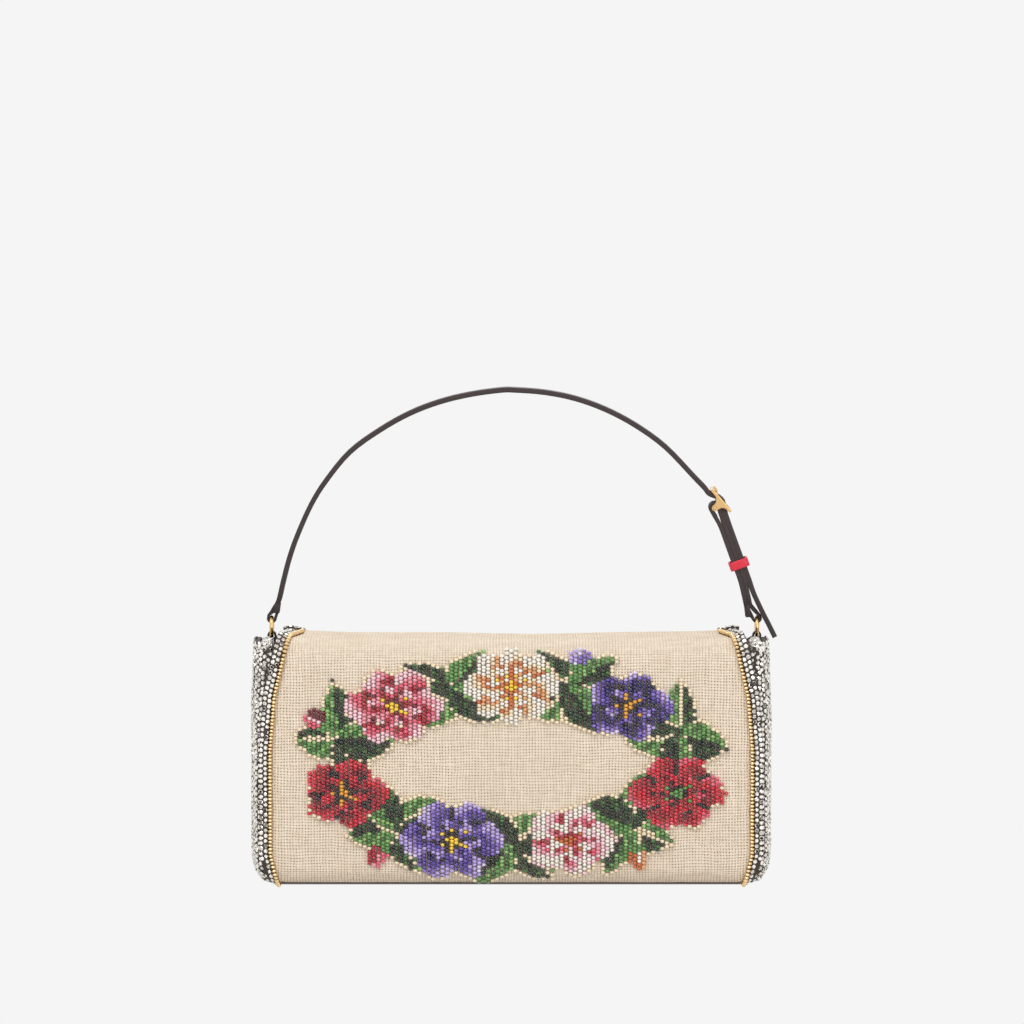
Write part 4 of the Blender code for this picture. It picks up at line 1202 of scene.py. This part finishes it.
def make_patch(name, patch, cells):
    """One bloom or group of leaves, bead by bead."""
    own = cells[2] == patch
    x, z, rim = cells[0][own], cells[1][own], cells[3][own]
    sizes = bpy.context.scene.handbag_beads
    rng = np.random.default_rng(PATCH_SEED + patch)
    if patch < BLOOM_COUNT:
        colour = bloom_glass(patch, x, z, rim, rng)
    else:
        colour = leaf_glass(patch - BLOOM_COUNT, x, z, rim, rng)
    x = x + rng.normal(0, BEAD_SHIFT[0], len(x))
    z = z + rng.normal(0, BEAD_SHIFT[1], len(z))
    places, normals = on_flap(x, way_at(z), sizes.depth * BEAD_OUT + bead_lift(patch, x, z))
    frames = frames_on(normals, turns=rng.normal(0, BEAD_SPIN, len(x)))
    frames = frames[:, :, [0, 2, 1]]
    frames[:, :, 1] *= -1
    half = np.array([sizes.width * BEAD_FIT, sizes.depth * 0.5, sizes.height * BEAD_FIT])
    scales = half[None] * rng.uniform(*BEAD_SIZES, (len(x), 1))
    shape = bead_shape()
    points, faces = copies(shape, places, frames, scales)
    used = sorted(set(colour.tolist()))
    turn = np.zeros(len(GLASS), int)
    turn[used] = np.arange(len(used))
    shades = [GLASS_NAMES[k] for k in used]
    materials = [plain_material(f"bead_{s}", GLASS[s], *BEAD_GLOSS) for s in shades]
    index = turn[np.repeat(colour, len(shape[1]))]
    made = mesh_object(f"beads_{name}", points, faces, materials, index)
    finish(made, "flap", cad_slot(name), name)


# Leather, metal and the inside

EDGE_WEAR = 0.0009

# The layers of the strap swell by this, so that no gap shows between them
LAYER_CLOSE = 0.00017

# The sewn ends of the doubled strap, as outlines in x and z
LEFT_END = ((-0.1203, 0.1408), (-0.1173, 0.1403), (-0.1180, 0.1353), (-0.1211, 0.1353))
RIGHT_END = ((0.1181, 0.1429), (0.1216, 0.1403), (0.1223, 0.1332), (0.1193, 0.1332))
END_INSET = 0.0004
END_REACH = 0.02


def strap_end(outline, node):
    """A prism over an outline at the strap's end, nearly as wide as the strap is there."""
    points, _ = cad_shape(node)
    middle = np.mean(outline, axis=0)
    near = np.hypot(points[:, 0] - middle[0], points[:, 2] - middle[1]) < END_REACH
    low, high = points[near, 1].min() + END_INSET, points[near, 1].max() - END_INSET
    count = len(outline)
    made = [(x, y, z) for y in (low, high) for x, z in outline]
    faces = [tuple(range(count)), tuple(reversed(range(count, 2 * count)))]
    faces += [(i, i + count, (i + 1) % count + count, (i + 1) % count) for i in range(count)]
    return np.array(made), faces


def make_strap():
    colours = bpy.context.scene.handbag_colours
    dark = leather_material("strap_leather", colours.leather, 0.5)
    for name, node, round_off, outline in (
        ("strap_band", "strap_long", 0.00035, LEFT_END),
        ("strap_loop", "strap_short", 0.00030, RIGHT_END),
    ):
        end = strap_end(outline, node)
        softened(name, node, dark, round_off, "strap", swell=LAYER_CLOSE, added=(end,))
    for name, _ in SIDES:
        softened(f"tab_{name}", f"ring_tab_{name}", dark, 0.00025, "bag")
    red = leather_material("keeper_leather", colours.keeper, 0.34)
    softened("keeper_loop", "keeper", red, 0.00040, "keeper")


def paint(material, *nodes):
    for node in nodes:
        mesh = frame["nodes"][node].data
        mesh.materials.clear()
        mesh.materials.append(material)


def make_metal():
    """The hard pieces keep their solids and get their metal, and the board its own look."""
    look = Look("polished_brass", bpy.context.scene.handbag_colours.metal, 0.17, 1.0)
    if look.fresh:
        look.set("Normal", look.add("Bevel", Radius=EDGE_WEAR).outputs[0])
    paint(look.material, "ring_left", "ring_right", "buckle_frame", "buckle_pin", "buckle_prong")
    steel = plain_material("magnet_steel", (176, 176, 178), 0.32, 1.0)
    paint(steel, "magnet_body", "magnet_flap")
    paint(plain_material("stiff_board", (150, 136, 112), 0.85), "base_board")


def make_inside():
    cloth = linen_material()
    dark = leather_material("trim_leather", (64, 46, 38), 0.5)
    brown = leather_material("flap_lining_leather", (98, 70, 52), 0.55)
    twill = twill_material("lining_cloth", (122, 90, 66))
    for name, node, material, round_off, body, sags in (
        ("linen_back", "back_panel", cloth, 0.0005, "bag", True),
        ("linen_front_wall", "front_wall", cloth, 0.0004, "bag", False),
        ("wall_binding", "front_binding", dark, 0.00035, "bag", False),
        ("base_leather", "base_panel", dark, 0.0005, "bag", False),
        ("hem_leather", "flap_hem", dark, 0.0005, "flap", False),
        ("flap_inner", "flap_lining", brown, 0.00025, "flap", True),
        ("lining_tub", "lining", twill, 0.00025, "bag", True),
        ("lining_pocket", "slip_pocket", twill, 0.00025, "bag", False),
    ):
        softened(name, node, material, round_off, body, sags)


# The stage

BACKGROUND = (245, 245, 245)
FLOOR_SIZE = 3.0
FLOOR_LEVEL = -0.0004

# Greys of the sky from straight below to straight above
SKY_GREYS = ((0.0, 0.60), (0.40, 0.22), (0.52, 0.22), (0.66, 0.80), (1.0, 1.25))

# Place, size and share of the power of each lamp, and the point they look at
LAMPS = (
    ("key_light", (-0.45, -1.00, 1.35), 0.60, 1.15),
    ("fill_light", (0.90, -1.30, 0.50), 0.80, 0.42),
    ("back_light", (0.20, 0.90, 1.10), 0.80, 0.45),
)
LAMP_AIM = (0, 0, 0.08)
SENSOR_WIDTH = 36.0
SIGHT_END = 50.0


def background_shader(nodes, shaded, plain, output):
    """Shows the plain background to the camera and in metal and glass, else the shaded one."""
    path = nodes.add("LightPath").outputs
    seen = path["Is Camera Ray"]
    for kind in ("Is Glossy Ray", "Is Transmission Ray"):
        seen = nodes.math("MAXIMUM", seen, path[kind])
    mix = nodes.add("MixShader")
    nodes.feed(mix.inputs, (seen, shaded.outputs[0], plain.outputs[0]))
    nodes.link(mix.outputs[0], output.inputs[0])


def make_world():
    world = bpy.data.worlds.new("studio")
    bpy.context.scene.world = world
    world.use_nodes = True
    nodes = Nodes(world.node_tree)
    nodes.tree.nodes.clear()
    _, _, height = nodes.axes(nodes.add("TexCoord").outputs["Generated"])
    ramp = nodes.add("ValToRGB")
    nodes.link(height * 0.5 + 0.5, ramp.inputs[0])
    stops = ramp.color_ramp.elements
    for place, _ in SKY_GREYS[1:-1]:
        stops.new(place)
    for stop, (_, grey) in zip(stops, SKY_GREYS):
        stop.color = (grey, grey, grey, 1)
    around = nodes.add("Background", Strength=bpy.context.scene.handbag_stage.sky)
    nodes.link(ramp.outputs[0], around.inputs[0])
    plain = nodes.add("Background", Color=linear(BACKGROUND))
    background_shader(nodes, around, plain, nodes.add("OutputWorld"))


def make_floor():
    corners = ((-1, -1), (1, -1), (1, 1), (-1, 1))
    points = [(x * FLOOR_SIZE, y * FLOOR_SIZE, FLOOR_LEVEL) for x, y in corners]
    look = Look("studio_floor", BACKGROUND, 0.9)
    plain = look.add("Emission", Color=linear(BACKGROUND))
    background_shader(look, look.shader, plain, look.tree.nodes["Material Output"])
    floor = mesh_object("studio_floor", points, [(0, 1, 2, 3)], [look.material])


def make_lights():
    power = bpy.context.scene.handbag_stage.key
    for name, place, size, share in LAMPS:
        light = bpy.data.lights.new(name, "AREA")
        light.shape = "SQUARE"
        light.size = size
        light.energy = power * share
        lamp = placed(name, light)
        lamp.location = place
        look_along(lamp, Vector(LAMP_AIM) - Vector(place))


def make_camera():
    sizes = bpy.context.scene.handbag_stage
    camera = bpy.data.cameras.new("camera")
    camera.sensor_width = SENSOR_WIDTH
    camera.lens = SENSOR_WIDTH * sizes.distance / sizes.view_width
    camera.clip_end = SIGHT_END
    shown = placed("camera", camera)
    turn, lean = sizes.azimuth, sizes.elevation
    level = math.cos(lean)
    way = Vector((math.sin(turn) * level, -math.cos(turn) * level, math.sin(lean)))
    shown.location = Vector(sizes.target) + way * sizes.distance
    look_along(shown, -way)
    bpy.context.scene.camera = shown


# The add-on's settings, operators and panel


class HandbagCloth(bpy.types.PropertyGroup):
    weave_pitch: bpy.props.FloatProperty(
        name="Weave pitch",
        description="Distance between two threads of the linen",
        default=0.0015,
        min=0.0005,
        max=0.004,
        unit="LENGTH",
        precision=4,
    )


class HandbagBeads(bpy.types.PropertyGroup):
    width: bpy.props.FloatProperty(
        name="Bead width",
        description="Distance between two columns of beads",
        default=0.0023,
        unit="LENGTH",
        precision=5,
    )
    height: bpy.props.FloatProperty(
        name="Bead height",
        description="Distance between two beads in a column",
        default=0.00185,
        unit="LENGTH",
        precision=5,
    )
    depth: bpy.props.FloatProperty(
        name="Bead depth",
        description="How thick a bead is from front to back",
        default=0.0020,
        unit="LENGTH",
        precision=5,
    )


class HandbagStones(bpy.types.PropertyGroup):
    diameter: bpy.props.FloatProperty(
        name="Stone diameter",
        description="Width of one cut stone",
        default=0.00245,
        unit="LENGTH",
        precision=5,
    )
    pitch: bpy.props.FloatProperty(
        name="Stone pitch",
        description="Distance between two stones in a column",
        default=0.00262,
        unit="LENGTH",
        precision=5,
    )


class HandbagStage(bpy.types.PropertyGroup):
    distance: bpy.props.FloatProperty(
        name="Camera distance",
        description="Distance from the camera to the flap",
        default=2.5,
        unit="LENGTH",
    )
    view_width: bpy.props.FloatProperty(
        name="View width",
        description="Width of the view at the flap",
        default=0.512,
        unit="LENGTH",
    )
    target: bpy.props.FloatVectorProperty(
        name="View middle",
        description="Point in the middle of the view",
        default=(0.0004, -0.029, 0.19065),
        subtype="TRANSLATION",
        unit="LENGTH",
    )
    azimuth: bpy.props.FloatProperty(
        name="Camera turn",
        description="How far the camera stands to the side",
        default=0.0,
        subtype="ANGLE",
    )
    elevation: bpy.props.FloatProperty(
        name="Camera height angle",
        description="How far the camera looks down",
        default=math.radians(4.6),
        subtype="ANGLE",
    )
    key: bpy.props.FloatProperty(
        name="Key light",
        description="Power of the main light in watts",
        default=9.4,
        min=0.0,
    )
    sky: bpy.props.FloatProperty(
        name="Sky light",
        description="Strength of the light from all around",
        default=0.60,
        min=0.0,
    )


class HandbagColours(bpy.types.PropertyGroup):
    linen: bpy.props.FloatVectorProperty(
        name="Linen",
        description="Colour of the linen's palest thread",
        default=linear((246, 231, 210)),
        subtype="COLOR",
        size=4,
        min=0.0,
        max=1.0,
    )
    leather: bpy.props.FloatVectorProperty(
        name="Strap leather",
        description="Colour of the strap and of the ring tabs",
        default=linear((52, 40, 39)),
        subtype="COLOR",
        size=4,
        min=0.0,
        max=1.0,
    )
    keeper: bpy.props.FloatVectorProperty(
        name="Keeper leather",
        description="Colour of the keeper on the strap",
        default=linear((222, 42, 64)),
        subtype="COLOR",
        size=4,
        min=0.0,
        max=1.0,
    )
    metal: bpy.props.FloatVectorProperty(
        name="Metal",
        description="Colour of the rings and of the buckle",
        default=linear((236, 196, 136)),
        subtype="COLOR",
        size=4,
        min=0.0,
        max=1.0,
    )
    gold_beads: bpy.props.FloatVectorProperty(
        name="Gold beads",
        description="Colour of the bead rows in the seams",
        default=linear((232, 200, 150)),
        subtype="COLOR",
        size=4,
        min=0.0,
        max=1.0,
    )


class HANDBAG_OT_linen(bpy.types.Operator):
    """Make the linen of the flap"""

    bl_idname = "handbag.linen"
    bl_label = "Linen flap"

    def execute(self, context):
        make_linen_flap()
        return {"FINISHED"}


class HANDBAG_OT_trims(bpy.types.Operator):
    """Make the gold bead rows and the stone covered borders of the flap"""

    bl_idname = "handbag.trims"
    bl_label = "Borders and gold beads"

    def execute(self, context):
        for name, side in SIDES:
            make_border(f"flap_border_{name}", side)
            make_corner(f"corner_{name}", side)
            make_trim(name, side)
        return {"FINISHED"}


class HANDBAG_OT_gussets(bpy.types.Operator):
    """Make the stone covered sides of the bag"""

    bl_idname = "handbag.gussets"
    bl_label = "Gussets"

    def execute(self, context):
        for name, side in SIDES:
            make_gusset(f"gusset_{name}", side)
        return {"FINISHED"}


class HANDBAG_OT_wreath(bpy.types.Operator):
    """Make the blooms and leaves of the bead wreath"""

    bl_idname = "handbag.wreath"
    bl_label = "Bead wreath"

    def execute(self, context):
        cells = patch_cells()
        for k in range(BLOOM_COUNT):
            make_patch(f"bloom_{k + 1}", k, cells)
            make_patch(f"leaves_{k + 1}", BLOOM_COUNT + k, cells)
        return {"FINISHED"}


class HANDBAG_OT_strap(bpy.types.Operator):
    """Make the leather strap, its tabs and its keeper"""

    bl_idname = "handbag.strap"
    bl_label = "Strap"

    def execute(self, context):
        make_strap()
        return {"FINISHED"}


class HANDBAG_OT_metal(bpy.types.Operator):
    """Give the rings, the buckle and the magnets their metal"""

    bl_idname = "handbag.metal"
    bl_label = "Metal"

    def execute(self, context):
        make_metal()
        return {"FINISHED"}


class HANDBAG_OT_inside(bpy.types.Operator):
    """Make the walls, bindings, lining and pocket"""

    bl_idname = "handbag.inside"
    bl_label = "Walls and lining"

    def execute(self, context):
        make_inside()
        return {"FINISHED"}


class HANDBAG_OT_stage(bpy.types.Operator):
    """Set the floor, the lights and the camera"""

    bl_idname = "handbag.stage"
    bl_label = "Stage"

    def execute(self, context):
        make_world()
        make_floor()
        make_lights()
        make_camera()
        context.scene.view_settings.view_transform = "Standard"
        return {"FINISHED"}


OPERATORS = (
    HANDBAG_OT_stage,
    HANDBAG_OT_linen,
    HANDBAG_OT_trims,
    HANDBAG_OT_gussets,
    HANDBAG_OT_wreath,
    HANDBAG_OT_strap,
    HANDBAG_OT_metal,
    HANDBAG_OT_inside,
)
SETTINGS = {
    "handbag_cloth": HandbagCloth,
    "handbag_beads": HandbagBeads,
    "handbag_stones": HandbagStones,
    "handbag_stage": HandbagStage,
    "handbag_colours": HandbagColours,
}


class HANDBAG_PT_panel(bpy.types.Panel):
    bl_label = "Flap handbag"
    bl_idname = "HANDBAG_PT_panel"
    bl_space_type = "VIEW_3D"
    bl_region_type = "UI"
    bl_category = "Handbag"

    def draw(self, context):
        for name, group in SETTINGS.items():
            box = self.layout.box()
            for key in group.__annotations__:
                box.prop(getattr(context.scene, name), key)
        for operator in OPERATORS:
            self.layout.operator(operator.bl_idname)


def register():
    for name, group in SETTINGS.items():
        bpy.utils.register_class(group)
        setattr(bpy.types.Scene, name, bpy.props.PointerProperty(type=group))
    for operator in OPERATORS:
        bpy.utils.register_class(operator)
    bpy.utils.register_class(HANDBAG_PT_panel)


def unregister():
    bpy.utils.unregister_class(HANDBAG_PT_panel)
    for operator in reversed(OPERATORS):
        bpy.utils.unregister_class(operator)
    for name, group in SETTINGS.items():
        delattr(bpy.types.Scene, name)
        bpy.utils.unregister_class(group)


def main():
    register()
    bpy.ops.handbag.stage()
    bpy.ops.handbag.linen()
    bpy.ops.handbag.trims()
    bpy.ops.handbag.gussets()
    bpy.ops.handbag.wreath()
    bpy.ops.handbag.strap()
    bpy.ops.handbag.metal()
    bpy.ops.handbag.inside()
    bpy.context.view_layer.update()


if __name__ == "__main__":
    main()
